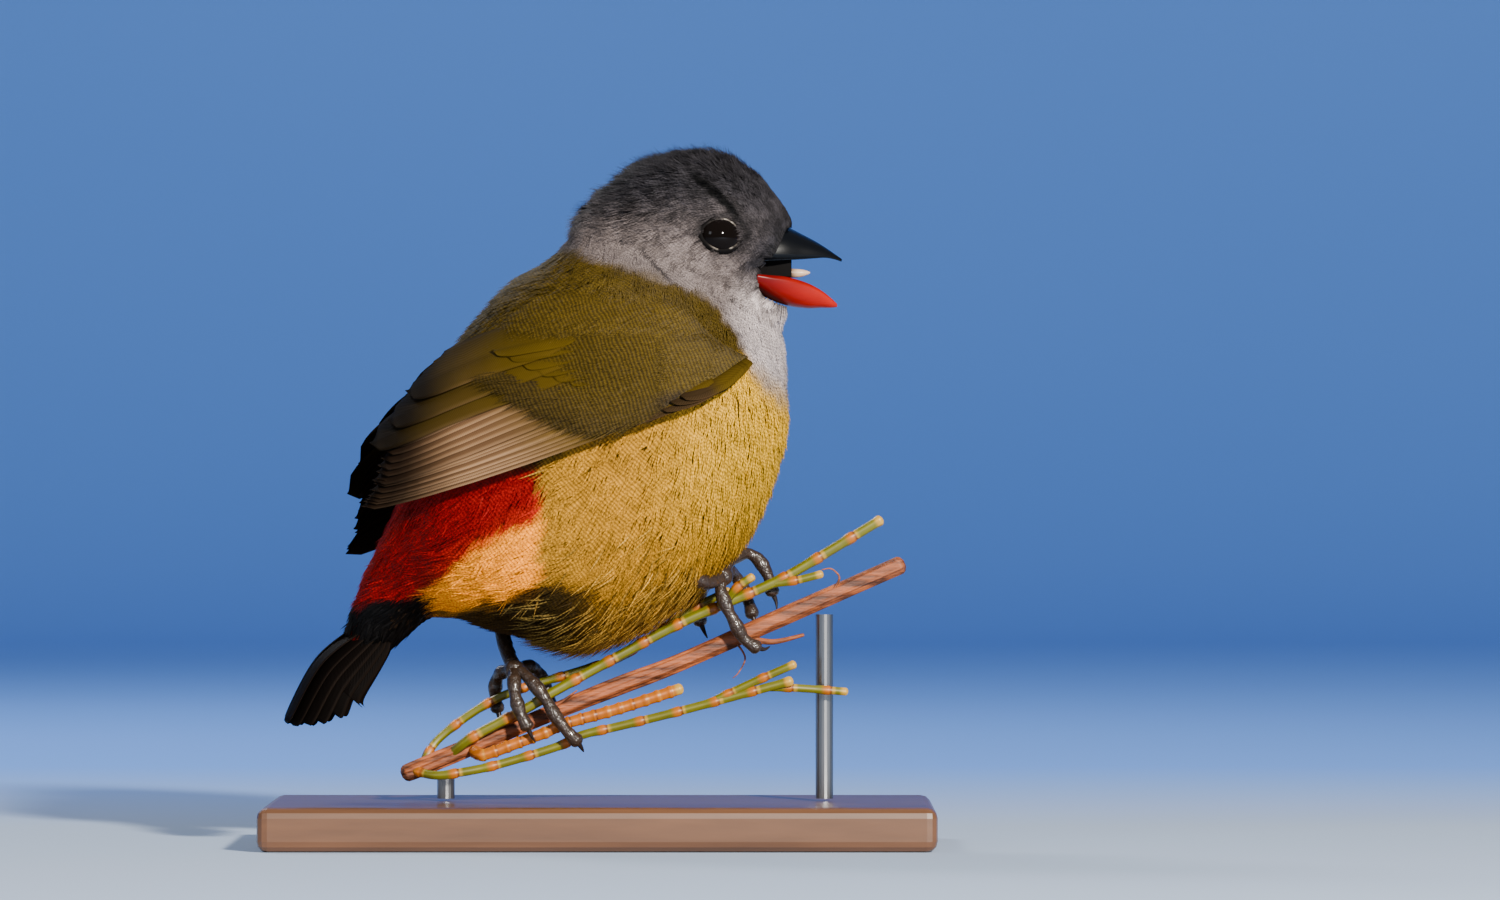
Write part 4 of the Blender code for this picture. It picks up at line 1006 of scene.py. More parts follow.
# Section of the lids: share of the opening's size, height over its edge, and how pale.
LID_SECTION = (
    (0.95, -0.06, 0.2), (0.98, 0.06, 1.0), (1.03, 0.07, 0.7), (1.1, 0.0, 0.0), (1.26, -0.3, 0.0),
    (1.22, -1.0, 0.0), (0.95, -0.9, 0.0),
)


def add_lids(name, centre, flat, normal, lift, turn):
    """Both lids as one rim round the eye, palest above its rear and below it."""
    share, height, pale = np.array(LID_SECTION).T
    sides, count = len(share), len(flat)
    verts = centre + flat[:, None] * share[:, None] + normal * (lift[:, None, None] + height[:, None])
    faces = [tuple(index % (count * sides) for index in face) for face in grid_faces(count + 1, sides)]
    made = link_mesh(name, verts.reshape(-1, 3), faces)
    spots = 1.2 * np.exp(-((turn - 1.8) / 0.5) ** 2) + 1.2 * np.exp(-((turn - 4.5) / 0.45) ** 2)
    set_attribute(made.data, "pale", (spots[:, None] * pale).ravel())
    return made


def build_eyes():
    black = new_material("Dark eye", roughness=0.06, specular=0.1)
    tree = black.node_tree
    finish_surface(black, mix_colours(tree, noise(tree, 500.0), srgb(7, 5, 4), srgb(14, 9, 7)))
    rim = new_material("Eyelid skin", roughness=0.75, specular=0.05)
    tree = rim.node_tree
    specks = spread_out(tree, noise(tree, 900.0), 0.42, 0.6)
    share = math_node(tree, "MULTIPLY", specks, read_attribute(tree, "pale"))
    finish_surface(rim, mix_colours(tree, share, srgb(14, 12, 12), srgb(196, 184, 170)))
    for word, side in SIDES.items():
        centre, normal = eye_centre(side)
        eye = add_ball("eyeball_" + word, centre, EYE_RADIUS)
        finish_piece(eye, black, "eye", "eye_" + word)
        across = unit(np.cross(normal, (0, 0, 1.0)) * -side)
        upward = unit(np.cross(normal, across) * side)
        if upward[2] < 0:
            upward = -upward
        turn = np.arange(LID_STEPS) * TURN / LID_STEPS
        wide = np.cos(turn) * LID_WIDE
        high = np.sin(turn) * (1 - 0.22 * np.cos(turn) ** 2) * LID_HIGH
        wide, high = wide - LID_TILT * high, high + LID_TILT * wide
        flat = wide[:, None] * across + high[:, None] * upward
        lift = np.sqrt(EYE_RADIUS ** 2 - np.sum(flat ** 2, axis=1))
        made = add_lids("lids_" + word, centre, flat, normal, np.maximum(lift, LID_LOWEST), turn)
        finish_piece(made, rim, "head_plumage")


# Coat of the body

def build_coat():
    body = plumage_material("Body plumage", 0.55, 0.42, 0.5, 0.45)
    grey = plumage_material("Head plumage", 0.4, 0.36, 0.9, 1.6)
    for number, (name, low, high, count, short, slot) in enumerate(COAT_PIECES):
        count = int(count * sizes().coat_share)
        if low > HEAD_START:
            add_coat(name, count, low, high, 20 + number, slot, grey, short, clear_of_head_parts)
        else:
            add_coat(name, count, low, high, 20 + number, slot, body, short)
    build_fluff(body)


def build_fluff(material):
    """Loose pale feathers that hang under the belly."""
    rng = np.random.default_rng(61)
    count = 1500
    t = rng.uniform(3.5, 5.5, count)
    angle = (math.pi + rng.normal(0, 0.42, count)) % TURN
    place, normal, lie = body_frame(t, angle, np.full(count, 0.9))
    swirl = wander(place, 2.2, 62) * 0.55 + rng.normal(0, 0.25, count)
    lie = turned(lie, normal, swirl)
    length = rng.uniform(2.8, 5.2, count)
    rise = rng.uniform(0.9, 1.9, count)
    tones = markings(place, back_share(angle)) * 0.7 + np.array(srgb(220, 180, 90)) * 0.3
    made = add_blades(
        "coat_fluff", place, normal, lie, length, np.full(count, 0.2), rise, tones, lie_at(t, angle),
        unwrap(t, angle), rng.random(count), False, 0.3,
    )
    finish_piece(made, material, "belly_plumage")


# Wings

# Folded wing in side view, and the bed that it lies on: half width, middle and half height by x.
WRIST = np.array((16.1, 0.0, 54.7))
WING_TIP = np.array((-25.5, 0.0, 39.5))
BED_X = (-36.0, -30.0, -25.0, -20.0, -15.0, -8.0, 0.0, 8.0, 13.0, 17.0, 20.0)
BED_WIDTH = (3.4, 4.6, 7.0, 11.4, 14.9, 17.0, 17.6, 16.6, 14.8, 12.4, 9.6)
BED_MIDDLE = (31.0, 33.0, 35.5, 38.5, 41.0, 43.5, 45.0, 46.5, 47.5, 48.5, 49.0)
BED_HEIGHT = (12.0, 12.0, 12.0, 14.3, 17.8, 21.5, 23.5, 22.5, 20.5, 18.0, 16.0)
# How far each wing droops, in degrees, and lies forward.
WING_DROOP = {"right": 0.0, "left": 7.5}
WING_SHIFT = {"right": 0.0, "left": -5.0}
# Shoulder under the small coverts, by distance along the wing: its edges and how far it bulges.
PAD_S = (-0.8, 0.8, 3.0, 8.0, 13.0, 18.0, 25.0)
PAD_LOW = (0.2, -1.4, -2.3, -2.3, -2.2, 0.9, 7.6)
PAD_HIGH = (0.6, 2.2, 4.8, 8.6, 10.8, 11.9, 11.6)
PAD_BULGE = (0.2, 0.8, 1.4, 1.9, 1.7, 1.2, 0.5)
# A vane's lift off the bed at its lower and upper edge.
LOW_LIFT = 1.3
HIGH_LIFT = 0.2


def bed(x, z):
    """Half width of the body under a wing, at a side-view place."""
    inside = 1.0 - ((z - table(x, BED_X, BED_MIDDLE)) / table(x, BED_X, BED_HEIGHT)) ** 2
    return table(x, BED_X, BED_WIDTH) * np.sqrt(np.maximum(inside, 0.02))


def wing_point(s, r, lift, word):
    """Points and normals on a wing, by distance along it, across it and off its bed."""
    side = SIDES[word]
    droop = math.radians(WING_DROOP[word])
    along = unit(WING_TIP - WRIST)
    along = np.array((
        along[0] * math.cos(droop) - along[2] * math.sin(droop), 0.0,
        along[0] * math.sin(droop) + along[2] * math.cos(droop),
    ))
    across = np.array((along[2], 0.0, -along[0]))
    s, r = np.asarray(s, float)[:, None], np.asarray(r, float)[:, None]
    flat = WRIST + (WING_SHIFT[word], 0.0, 0.0) + along * s + across * r
    x, z = flat[:, 0], flat[:, 2]
    step = 0.2
    half = bed(x, z)
    slope_x = (bed(x + step, z) - bed(x - step, z)) / (2 * step)
    slope_z = (bed(x, z + step) - bed(x, z - step)) / (2 * step)
    normal = unit(np.stack((-slope_x, np.full(len(x), side), -slope_z), 1))
    place = np.stack((x, side * half, z), 1) + normal * np.reshape(lift, (-1, 1))
    return place, normal


# A vane's points along and across, its thickness, and where its shaft is across it.
VANE_ROWS = 26
VANE_COLUMNS = 11
VANE_THICK = 0.22
SHAFT_AT = 0.36


def vane_colours(u, v, base, edge, edge_share, root=None, tip=None):
    """Colour across a vane: dark by the shaft, pale along its outer edge, root and tip their own."""
    dark = np.exp(-((u - SHAFT_AT) / 0.05) ** 2) * 0.4
    inner = smooth_step(SHAFT_AT, 1.0, u) * 0.35
    tones = lay(base, edge, smooth_step(0.11, 0.02, u) * edge_share)
    if root is not None:
        tones = lay(tones, root, smooth_step(0.62, 0.3, v) * 0.85)
        tones = lay(tones, tip, smooth_step(0.66, 0.92, v) * 0.9)
    return tones * (1 - dark - inner)[:, None]


# Breadth along a vane, as a share of its width: wing and tail.
VANE_ALONG = (0.0, 0.1, 0.3, 0.55, 0.78, 0.9, 0.96, 1.0)
VANE_BREADTH = (0.6, 0.85, 1.0, 1.0, 0.94, 0.8, 0.62, 0.1)
TAIL_BREADTH = (0.7, 0.9, 1.0, 1.0, 1.0, 0.94, 0.78, 0.2)


class VaneBatch:
    """Gathers feathers into one mesh, each a closed thin shell with a raised shaft."""

    def __init__(self):
        self.verts, self.faces = [], []
        self.layers = {"plumage": [], "lie": [], "reach": [], "tuft": [], "vane": []}

    def add(self, surface, length, width, colour_rule, tuft):
        """surface(v, u) gives points and normals, with v along and u from the lower edge up."""
        v = np.repeat(np.linspace(0, 1, VANE_ROWS), VANE_COLUMNS)
        u = np.tile(np.linspace(0, 1, VANE_COLUMNS), VANE_ROWS)
        place, normal = surface(v, u)
        edge = np.minimum(u, 1 - u) * 2
        thick = VANE_THICK * (0.35 + 0.65 * edge ** 0.5) * (1 - 0.5 * v)
        thick = thick * (1 + 1.3 * np.exp(-((u - SHAFT_AT) / 0.07) ** 2))
        half = normal * (thick / 2)[:, None]
        self.faces += shell_faces(VANE_ROWS, VANE_COLUMNS, len(self.verts) * len(v))
        self.verts += [place + half, place - half]
        for name, values in (
            ("plumage", colour_rule(u, v)), ("lie", v * length), ("reach", 0.6 + 0.4 * v),
            ("tuft", np.full(len(v), tuft)),
            ("vane", np.stack(((u - SHAFT_AT) * width, v * length, np.zeros(len(v))), 1)),
        ):
            self.layers[name] += [values, values]

    def finish(self, name):
        mesh = bpy.data.meshes.new(name)
        mesh.from_pydata(np.concatenate(self.verts) * MM, [], self.faces)
        face_outwards(mesh)
        mesh.shade_smooth()
        kinds = {"plumage": "FLOAT_COLOR", "vane": "FLOAT_VECTOR"}
        for key, values in self.layers.items():
            set_attribute(mesh, key, np.concatenate(values), kinds.get(key, "FLOAT"))
        return link_object(name, mesh)


# Distance between barbs, across which their colour and relief go up and down once; the colour's dips are
# painted shade.
BARB_SPACING = 0.28


def vane_material(name, roughness=0.8):
    """Feather vane: fine slanting barbs over the feather's own colours."""
    material = bpy.data.materials.get(name)
    if material:
        return material
    material = new_material(name, roughness=roughness, specular=0.02)
    tree = material.node_tree
    split = tree.nodes.new("ShaderNodeSeparateXYZ")
    tree.links.new(read_attribute(tree, "vane", "Vector"), split.inputs[0])
    across = math_node(tree, "ABSOLUTE", split.outputs["X"])
    phase = math_node(tree, "MULTIPLY_ADD", across, -1.1, split.outputs["Y"])
    phase = math_node(tree, "ADD", phase, math_node(tree, "MULTIPLY", noise(tree, 700.0), 0.25))
    barb = math_node(tree, "SINE", math_node(tree, "MULTIPLY", phase, TURN / BARB_SPACING))
    # Painted shade: the colour dips between the barbs with their relief.
    shade = math_node(tree, "MULTIPLY_ADD", barb, 0.13, 0.9)
    streak = math_node(tree, "MULTIPLY_ADD", noise(tree, 160.0, 4.0), 0.5, 0.75)
    spread = math_node(tree, "MULTIPLY_ADD", read_attribute(tree, "tuft"), 0.3, 0.85)
    for factor in (streak, spread):
        shade = math_node(tree, "MULTIPLY", shade, factor)
    tone = scale_colour(tree, read_attribute(tree, "plumage", "Color"), shade)
    return finish_surface(material, tone, barb, 0.35, 0.00006)


# Feathers of a wing: kind, count, root and its step, tip and its step, width, lift and its step, bow.
WING_ROWS = (
    ("primary", 9, (5.0, -0.8), (0.7, 0.5), (45.3, -0.65), (-0.35, 0.27), 3.2, 0.0, 0.0, -0.2),
    ("secondary", 6, (9.0, 3.2), (1.2, 0.8), (43.0, 1.6), (-0.6, 0.65), 4.2, 0.1, 0.0, 0.4),
    ("tertial", 3, (15.0, 6.4), (1.5, 1.4), (42.0, 5.2), (-3.0, 1.9), 5.2, 0.3, 0.0, 0.9),
    ("alula", 3, (2.6, -1.2), (0.9, 0.3), (16.5, -1.75), (0.5, 0.4), 1.9, 0.5, 0.0, -0.3),
    ("alula", 3, (0.2, -0.2), (0.5, -0.1), (10.6, -1.95), (-1.2, 0.3), 1.5, 0.95, 0.1, -0.7),
    ("covert", 9, (7.0, 0.9), (1.2, 1.0), (15.0, 0.6), (1.3, 1.2), 2.9, 0.35, 0.0, 0.2),
)


def build_wing(word):
    rng = np.random.default_rng(300 + len(word))
    flight, mantle, pale = colour("flight"), colour("mantle"), colour("flight_edge")
    shaded_tip, olive = colour("tail"), mantle * 0.7
    # Of each kind: its colour, its edge's, the edge's share, and its tip's; the flight feathers' near-black
    # tips are painted shade.
    tones = {
        "primary": (flight, pale, 0.8, shaded_tip),
        "secondary": (flight, pale, 0.5, shaded_tip),
        "tertial": (colour("tertial"), pale, 0.08, shaded_tip),
        "alula": (colour("alula"), flight, 0.3, colour("alula")),
        "covert": (mantle * 0.62, mantle, 0.08, mantle * 0.62),
    }
    batch = VaneBatch()
    for kind, count, root_one, root_step, tip_one, tip_step, width, lift_one, lift_step, bow in WING_ROWS:
        for k in range(count):
            root = np.add(root_one, np.multiply(root_step, k)) + rng.normal(0, 0.08, 2)
            tip = np.add(tip_one, np.multiply(tip_step, k)) + rng.normal(0, 0.12, 2)
            lift = lift_one + lift_step * k

            def surface(v, u, root=root, tip=tip, width=width, lift=lift, bow=bow):
                s = root[0] + (tip[0] - root[0]) * v
                r = root[1] + (tip[1] - root[1]) * v + bow * 4 * v * (1 - v)
                half = width / 2 * table(v, VANE_ALONG, VANE_BREADTH)
                height = lift + LOW_LIFT + (HIGH_LIFT - LOW_LIFT) * u + 0.06 * np.sin(math.pi * u)
                return wing_point(s, r + half * (2 * u - 1), height, word)

            def colours(u, v, kind=kind):
                base, edge, share, tip_tone = tones[kind]
                return vane_colours(u, v, base, edge, share, olive, tip_tone)

            batch.add(surface, float(np.hypot(*(tip - root))), width, colours, rng.random())
    made = batch.finish("wing_feathers_" + word)
    finish_piece(made, vane_material("Flight feathers"), "wing_feathers", "wing_" + word)
    build_wing_pad(word)


def pad_lift(s, part):
    """Height of the shoulder off the bed, along the wing and across from its lower edge."""
    edge = 1.2 * smooth_step(0.35, 0.0, part) * smooth_step(4.0, 11.0, s)
    return 0.15 + edge + table(s, PAD_S, PAD_BULGE) * np.sin(math.pi * np.clip(part, 0.001, 0.999)) ** 0.6


def build_wing_pad(word):
    """The shoulder under the small coverts, and the tufts that cover it."""
    rows, columns = 40, 24
    s = np.repeat(PAD_S[0] + (PAD_S[-1] - PAD_S[0]) * np.linspace(0, 1, rows) ** 1.2, columns)
    part = np.tile(np.linspace(0, 1, columns), rows)
    low, high = table(s, PAD_S, PAD_LOW), table(s, PAD_S, PAD_HIGH)
    outer, _ = wing_point(s, low + (high - low) * part, pad_lift(s, part) - 0.15, word)
    inner, _ = wing_point(s, low + (high - low) * part, np.full(len(s), -0.6), word)
    verts = np.concatenate((outer, inner))
    pad = link_mesh("wing_shoulder_" + word, verts, shell_faces(rows, columns))
    mantle = colour("mantle")
    set_attribute(pad.data, "plumage", np.tile(mantle * 0.6, (len(verts), 1)), "FLOAT_COLOR")
    set_attribute(pad.data, "lie", np.tile(s, 2))
    for mask in ("reach", "tuft"):
        set_attribute(pad.data, mask, np.full(len(verts), 0.5))
    material = plumage_material("Covert plumage", 0.65, 0.42, 0.45, 0.35)
    finish_piece(pad, material, "wing_feathers")
    count = sizes().wing_blades
    rng = np.random.default_rng(500 + len(word))
    s = PAD_S[0] + (PAD_S[-1] - PAD_S[0]) * rng.random(count * 2)
    part = rng.random(count * 2)
    low, high = table(s, PAD_S, PAD_LOW), table(s, PAD_S, PAD_HIGH)
    chosen = rng.random(len(s)) < (high - low) / 12.0
    s, part, low, high = (values[chosen][:count] for values in (s, part, low, high))
    r = low + (high - low) * part
    lift = pad_lift(s, part) - 0.2
    place, normal = wing_point(s, r, lift, word)
    ahead, _ = wing_point(s + 0.5, r, lift, word)
    lie = unit(ahead - place)
    lie = turned(lie, normal, wander(place, 5.0, 9) * 0.15 + rng.normal(0, 0.1, len(s)))
    front = smooth_step(6.0, 0.0, s)
    fringe = smooth_step(0.35, 0.0, part) * smooth_step(8.0, 14.0, s)
    length = (2.0 - 0.9 * front + 2.8 * fringe) * rng.uniform(0.75, 1.25, len(s))
    width = 0.25 * rng.uniform(0.7, 1.2, len(s)) * (1 + 0.4 * fringe)
    dark = smooth_step(0.22, 0.1, part) * smooth_step(12.0, 7.0, s)
    tones = lay(lay(mantle, colour("alula"), dark), colour("tertial"), fringe * 0.7)
    flat = np.stack((0.02 + 0.96 * (s - PAD_S[0]) / 26.0, 0.1 + 0.8 * (r + 3) / 16.0), 1)
    made = add_blades(
        "coat_wing_" + word, place, normal, lie, length, width, np.full(len(s), 0.42),
        tones, -s, flat, rng.random(len(s)), True,
    )
    finish_piece(made, material, "wing_feathers")
    build_scapulars(word, material)


def build_scapulars(word, material):
    """Loose feathers of the back that hang over the upper edge of a folded wing."""
    rng = np.random.default_rng(700 + len(word))
    count = sizes().scapulars
    s = rng.uniform(1.5, 26.0, count)
    rise = rng.random(count) ** 0.8
    reach = 2.2 + 3.0 * smooth_step(26.0, 17.0, s) * smooth_step(0.5, 5.0, s)
    r = table(s, PAD_S, PAD_HIGH) - 2.2 + reach * rise
    lift = table(s, PAD_S, PAD_BULGE) * smooth_step(1.1, 0.0, rise) * 0.75 + 0.25
    place, normal = wing_point(s, r, lift, word)
    ahead, _ = wing_point(s + 0.5, r - 0.14, lift, word)
    swirl = wander(place, 5.0, 15) * 0.15 + rng.normal(0, 0.1, count)
    lie = turned(unit(ahead - place), normal, swirl)
    length = rng.uniform(2.2, 3.4, count) * (0.6 + 0.4 * smooth_step(0.0, 6.0, s))
    width = 0.26 * rng.uniform(0.7, 1.2, count)
    tones = colour("mantle") * (1 - 0.25 * smooth_step(15.0, 28.0, s))[:, None]
    flat = np.stack((0.02 + 0.96 * (s + 2.0) / 31.0, 0.02 + 0.06 * rise), 1)
    made = add_blades(
        "coat_scapular_" + word, place - normal * 0.5, normal, lie, length, width,
        np.full(count, 0.7), tones, -s, flat, rng.random(count), False, 0.14,
    )
    finish_piece(made, material, "wing_feathers")


# Tail

# Where the tail starts, the way it points, and its upper side.
TAIL_ROOT = np.array((-22.5, 0.0, 27.5))
TAIL_ALONG = np.array((-0.648, 0.0, -0.762))
TAIL_UP = np.array((-0.762, 0.0, 0.648))


def build_tail():
    rng = np.random.default_rng(77)
    base, edge = colour("tail"), colour("flight") * 0.3
    batch = VaneBatch()
    for pair in range(6):
        for side in SIDES.values():
            uneven = 0.15 if side > 0 else 0.0
            spine = np.array((
                (4.2, 0.4 + 0.3 * pair, 1.5 - 0.4 * pair),
                (11.0, 1.2 + 0.45 * pair, 2.9 - 0.85 * pair - uneven),
                (18.7 - 0.27 * pair ** 2 + rng.normal(0, 0.1), 1.5 + 0.5 * pair,
                 1.3 - 0.75 * pair - uneven),
            ))
            roll = math.radians(14 + 11 * pair)
            across = np.array((0.0, side * math.cos(roll), 0.0)) - TAIL_UP * math.sin(roll)
            normal = np.array((0.0, side * math.sin(roll), 0.0)) + TAIL_UP * math.cos(roll)

            def surface(v, u, spine=spine, across=across, normal=normal, side=side):
                place = catmull(spine, v * 2)
                centre = (
                    TAIL_ROOT + TAIL_ALONG * place[:, :1] + TAIL_UP * place[:, 2:]
                    + np.array((0.0, side, 0.0)) * place[:, 1:2]
                )
                half = 2.3 * table(v, VANE_ALONG, TAIL_BREADTH)
                out = across * (half * (1 - 2 * u))[:, None]
                crown = normal * (0.22 * np.sin(math.pi * u))[:, None]
                return centre + out + crown, np.tile(normal, (len(v), 1))

            batch.add(
                surface, 14.0, 4.6, lambda u, v: vane_colours(u, v, base, edge, 0.12), rng.random())
    made = batch.finish("tail_feathers")
    finish_piece(made, vane_material("Tail feathers", 0.55), "tail_feathers", "tail")
    build_tail_coverts()


def build_tail_coverts():
    """Long loose feathers over and under the root of the tail."""
    rng = np.random.default_rng(81)
    count = 5200
    angle = rng.random(count) * TURN
    t = rng.random(count) * 0.9
    place, normal, lie = body_frame(t, angle, np.full(count, 0.7))
    lie = unit(lie * 0.6 + TAIL_ALONG * 0.8)
    upper = smooth_step(-0.2, 0.3, np.cos(angle))
    length = (4.0 + 3.0 * upper) * rng.uniform(0.7, 1.15, count)
    share = upper * (rng.random(count) < 0.55)
    tones = lay(colour("tail") * 0.7 + colour("flight") * 0.3, colour("rump") * 0.7, share)
    made = add_blades(
        "coat_tail_coverts", place, normal, lie, length, np.full(count, 0.32), np.full(count, 0.5),
        tones, t, unwrap(t, angle), rng.random(count),
    )
    finish_piece(made, plumage_material("Body plumage"), "rump_plumage")


# Legs

# Paths of the tarsi, from the body to the ankle.
TARSI = {
    "right": ((9.5, -6.8, 31.6), (11.8, -5.2, 30.0), (14.0, -1.9, 30.6)),
    "left": ((-11.4, 4.4, 26.6), (-10.9, 2.2, 23.0), (-9.7, -0.9, 20.0)),
}
# Of each toe: its path from the ankle on, and its claw's from the toe's end on.
TOES = {
    "left_middle": (
        ((-8.6, -2.0, 19.5), (-7.3, -3.0, 18.2), (-6.0, -3.6, 16.5), (-5.0, -3.9, 14.8),
         (-3.7, -4.2, 13.1), (-2.5, -4.2, 11.9)),
        ((-2.0, -3.7, 11.1), (-1.8, -2.9, 10.7)),
    ),
    "left_inner": (
        ((-9.7, -2.4, 19.2), (-9.6, -3.6, 17.4), (-9.0, -4.0, 15.2), (-8.2, -4.1, 13.6)),
        ((-7.7, -3.9, 12.5), (-7.3, -3.5, 11.8)),
    ),
    "left_outer": (
        ((-8.9, 0.6, 20.2), (-7.6, 2.4, 20.1), (-6.6, 3.3, 18.9), (-6.0, 3.3, 17.0), (-5.5, 2.8, 15.6)),
        ((-5.2, 2.5, 14.5), (-5.1, 2.0, 13.6)),
    ),
    "left_hallux": (
        ((-10.8, 0.6, 19.8), (-11.7, 2.5, 19.0), (-12.0, 3.3, 17.2), (-11.7, 3.1, 15.4)),
        ((-11.4, 2.8, 14.2), (-11.0, 2.2, 13.2)),
    ),
    "right_middle": (
        ((14.6, -1.0, 32.0), (15.6, 0.3, 32.9), (16.9, 1.2, 33.1), (18.1, 1.3, 32.3),
         (19.1, 1.2, 30.6), (19.6, 1.2, 28.7)),
        ((20.0, 1.2, 27.7), (20.1, 1.0, 26.8)),
    ),
    "right_outer": (
        ((13.7, -2.9, 29.4), (14.2, -3.2, 27.6), (15.3, -3.2, 25.4), (16.4, -2.9, 23.5), (17.8, -2.7, 22.5)),
        ((18.7, -2.3, 22.3), (19.3, -1.7, 22.6)),
    ),
    "right_inner": (
        ((14.3, 0.4, 31.2), (15.2, 2.3, 30.8), (16.2, 3.2, 29.2), (16.9, 3.0, 27.5), (17.3, 2.4, 26.2)),
        ((17.6, 2.0, 25.2), (17.7, 1.5, 24.4)),
    ),
    "right_hallux": (
        ((13.0, -0.2, 30.6), (12.0, 1.8, 29.9), (11.3, 3.2, 28.4), (11.1, 3.3, 26.8), (11.4, 2.9, 25.3)),
        ((11.8, 2.6, 24.3), (12.2, 2.0, 23.5)),
    ),
}


def scale_material(name, skin, roughness):
    """Leg skin: plates and fine cracks with a dull shine."""
    material = new_material(name, roughness=roughness, coat=0.2)
    tree = material.node_tree
    cells = add_node(tree, "ShaderNodeTexVoronoi", {"Scale": 1700.0}, feature="DISTANCE_TO_EDGE")
    tree.links.new(position(tree), cells.inputs["Vector"])
    crack = math_node(tree, "MINIMUM", math_node(tree, "MULTIPLY", cells.outputs["Distance"], 6.0), 1.0)
    tone = mix_colours(tree, noise(tree, 420.0, 4.0), skin * 0.6, skin * 1.5)
    tone = scale_colour(tree, tone, math_node(tree, "MULTIPLY_ADD", crack, 0.3, 0.7))
    return finish_surface(material, tone, crack, 0.4, 0.0001)


def scutes(spacing_steps, depth):
    """Ripple that raises plates across the front of a toe or tarsus."""
    def ripple(step, angles):
        phase = (step % spacing_steps) / spacing_steps
        return 1.0 + depth * (0.5 + 0.5 * np.cos(angles)) * (phase - 0.5)
    return ripple


def build_legs():
    leg = scale_material("Leg skin", colour("leg"), 0.38)
    claw_horn = horn_material("Claw horn", srgb(34, 28, 28))
    for word in SIDES:
        path = smooth_path(TARSI[word], 0.22)
        made = add_tube("leg_" + word, path, np.linspace(0.92, 0.85, len(path)), 22, scutes(6, 0.14))
        finish_piece(made, leg, "leg_skin", "tarsus_" + word)
        ankle = TARSI[word][-1]
        pieces = []
        for toe, (toe_path, claw_path) in TOES.items():
            if not toe.startswith(word):
                continue
            path = smooth_path((ankle, *toe_path), 0.2)
            part = np.linspace(0, 1, len(path))
            radii = (0.76 - 0.02 * part) * (1 + 0.13 * np.cos(part * 6 * math.pi))
            pieces.append(add_tube("toe_" + toe, path, radii, 20, scutes(5, 0.13)))
            path = smooth_path((toe_path[-1], *claw_path), 0.18)
            claw = add_tube("claw_tip_" + toe, path, np.linspace(0.4, 0.06, len(path)), 14)
            finish_piece(claw, claw_horn, "claw", "claw_" + toe)
        pieces.append(add_ball("knuckle", ankle, 1.15, 24, 16))
        foot = join_pieces("foot_scaled_" + word, pieces)
        finish_piece(foot, leg, "leg_skin", "foot_" + word)


def join_pieces(name, pieces, masks=()):
    """One mesh of several, with the float attributes named in masks."""
    verts, faces, start = [], [], 0
    kept = {mask: [] for mask in masks}
    for piece in pieces:
        for mask in masks:
            values = np.empty(len(piece.data.vertices), np.float32)
            piece.data.attributes[mask].data.foreach_get("value", values)
            kept[mask].append(values)
        verts.append(mesh_points(piece.data))
        for polygon in piece.data.polygons:
            faces.append(tuple(start + index for index in polygon.vertices))
        start += len(piece.data.vertices)
        bpy.data.objects.remove(piece, do_unlink=True)
    made = link_mesh(name, np.concatenate(verts), faces)
    for mask, values in kept.items():
        set_attribute(made.data, mask, np.concatenate(values))
    return made


# Perch

STEM_PATH = (
    (-22.0, 0.0, 8.2), (-19.3, 0.0, 9.3), (-4.4, 0.0, 15.5), (2.3, 0.0, 18.2), (9.1, 0.0, 20.8),
    (22.7, 0.0, 26.8), (34.1, 0.0, 31.8),
)
# Radius and path of each twig.
TWIGS = {
    "perch_twig_upper": (0.6, (
        (-16.8, -0.2, 10.4), (-15.3, -1.6, 11.7), (-13.4, -1.9, 12.9), (-8.3, -1.9, 15.6),
        (-5.7, -1.8, 17.2), (2.3, -1.0, 21.6), (9.1, -0.7, 25.2), (15.1, -0.7, 27.8),
        (19.9, -0.7, 29.9), (22.7, -0.6, 31.4), (31.8, -0.4, 36.9))),
    "perch_twig_rear": (0.5, (
        (-20.3, 0.3, 8.9), (-18.4, 1.7, 12.0), (-13.6, 1.8, 15.6), (-9.1, 1.6, 17.7),
        (-1.9, 1.9, 19.9), (2.8, 2.2, 21.6), (10.2, 1.7, 26.6), (14.6, 1.3, 28.8))),
    "perch_twig_lower": (0.55, (
        (-20.8, -0.6, 8.4), (-18.6, -2.2, 8.0), (-16.0, -2.5, 8.3), (-11.6, -2.3, 9.2),
        (-4.7, -2.2, 11.3), (-1.9, -2.3, 12.6), (2.3, -2.4, 13.6), (9.1, -2.8, 15.3), (21.6, -3.4, 18.7))),
    "perch_twig_short": (0.7, (
        (-14.4, -0.3, 10.9), (-13.6, -2.2, 10.3), (-12.2, -2.6, 10.6), (-9.8, -2.6, 11.5),
        (-6.3, -2.5, 12.8), (-3.8, -2.6, 13.9), (2.3, -2.4, 15.6), (9.1, -2.2, 17.8))),
}
# Twigs that branch off them, and the distances between the joints and between the short twig's beads.
SIDE_TWIG_RADIUS = 0.5
JOINT_SPACING = 4.4
BEAD_SPACING = 1.5
SIDE_TWIGS = {
    "perch_twig_upper": (
        ((19.6, -0.7, 29.7), (22.3, -1.1, 30.1), (25.1, -1.2, 30.8)),
        ((14.2, -1.0, 27.5), (15.6, -1.7, 29.3), (17.3, -1.9, 30.5)),
    ),
    "perch_twig_lower": (
        ((12.4, -2.9, 16.2), (16.8, -3.3, 18.3), (22.0, -3.7, 20.6)),
        ((19.0, -3.2, 18.0), (22.5, -2.6, 17.9), (27.9, -2.3, 17.5)),
    ),
}


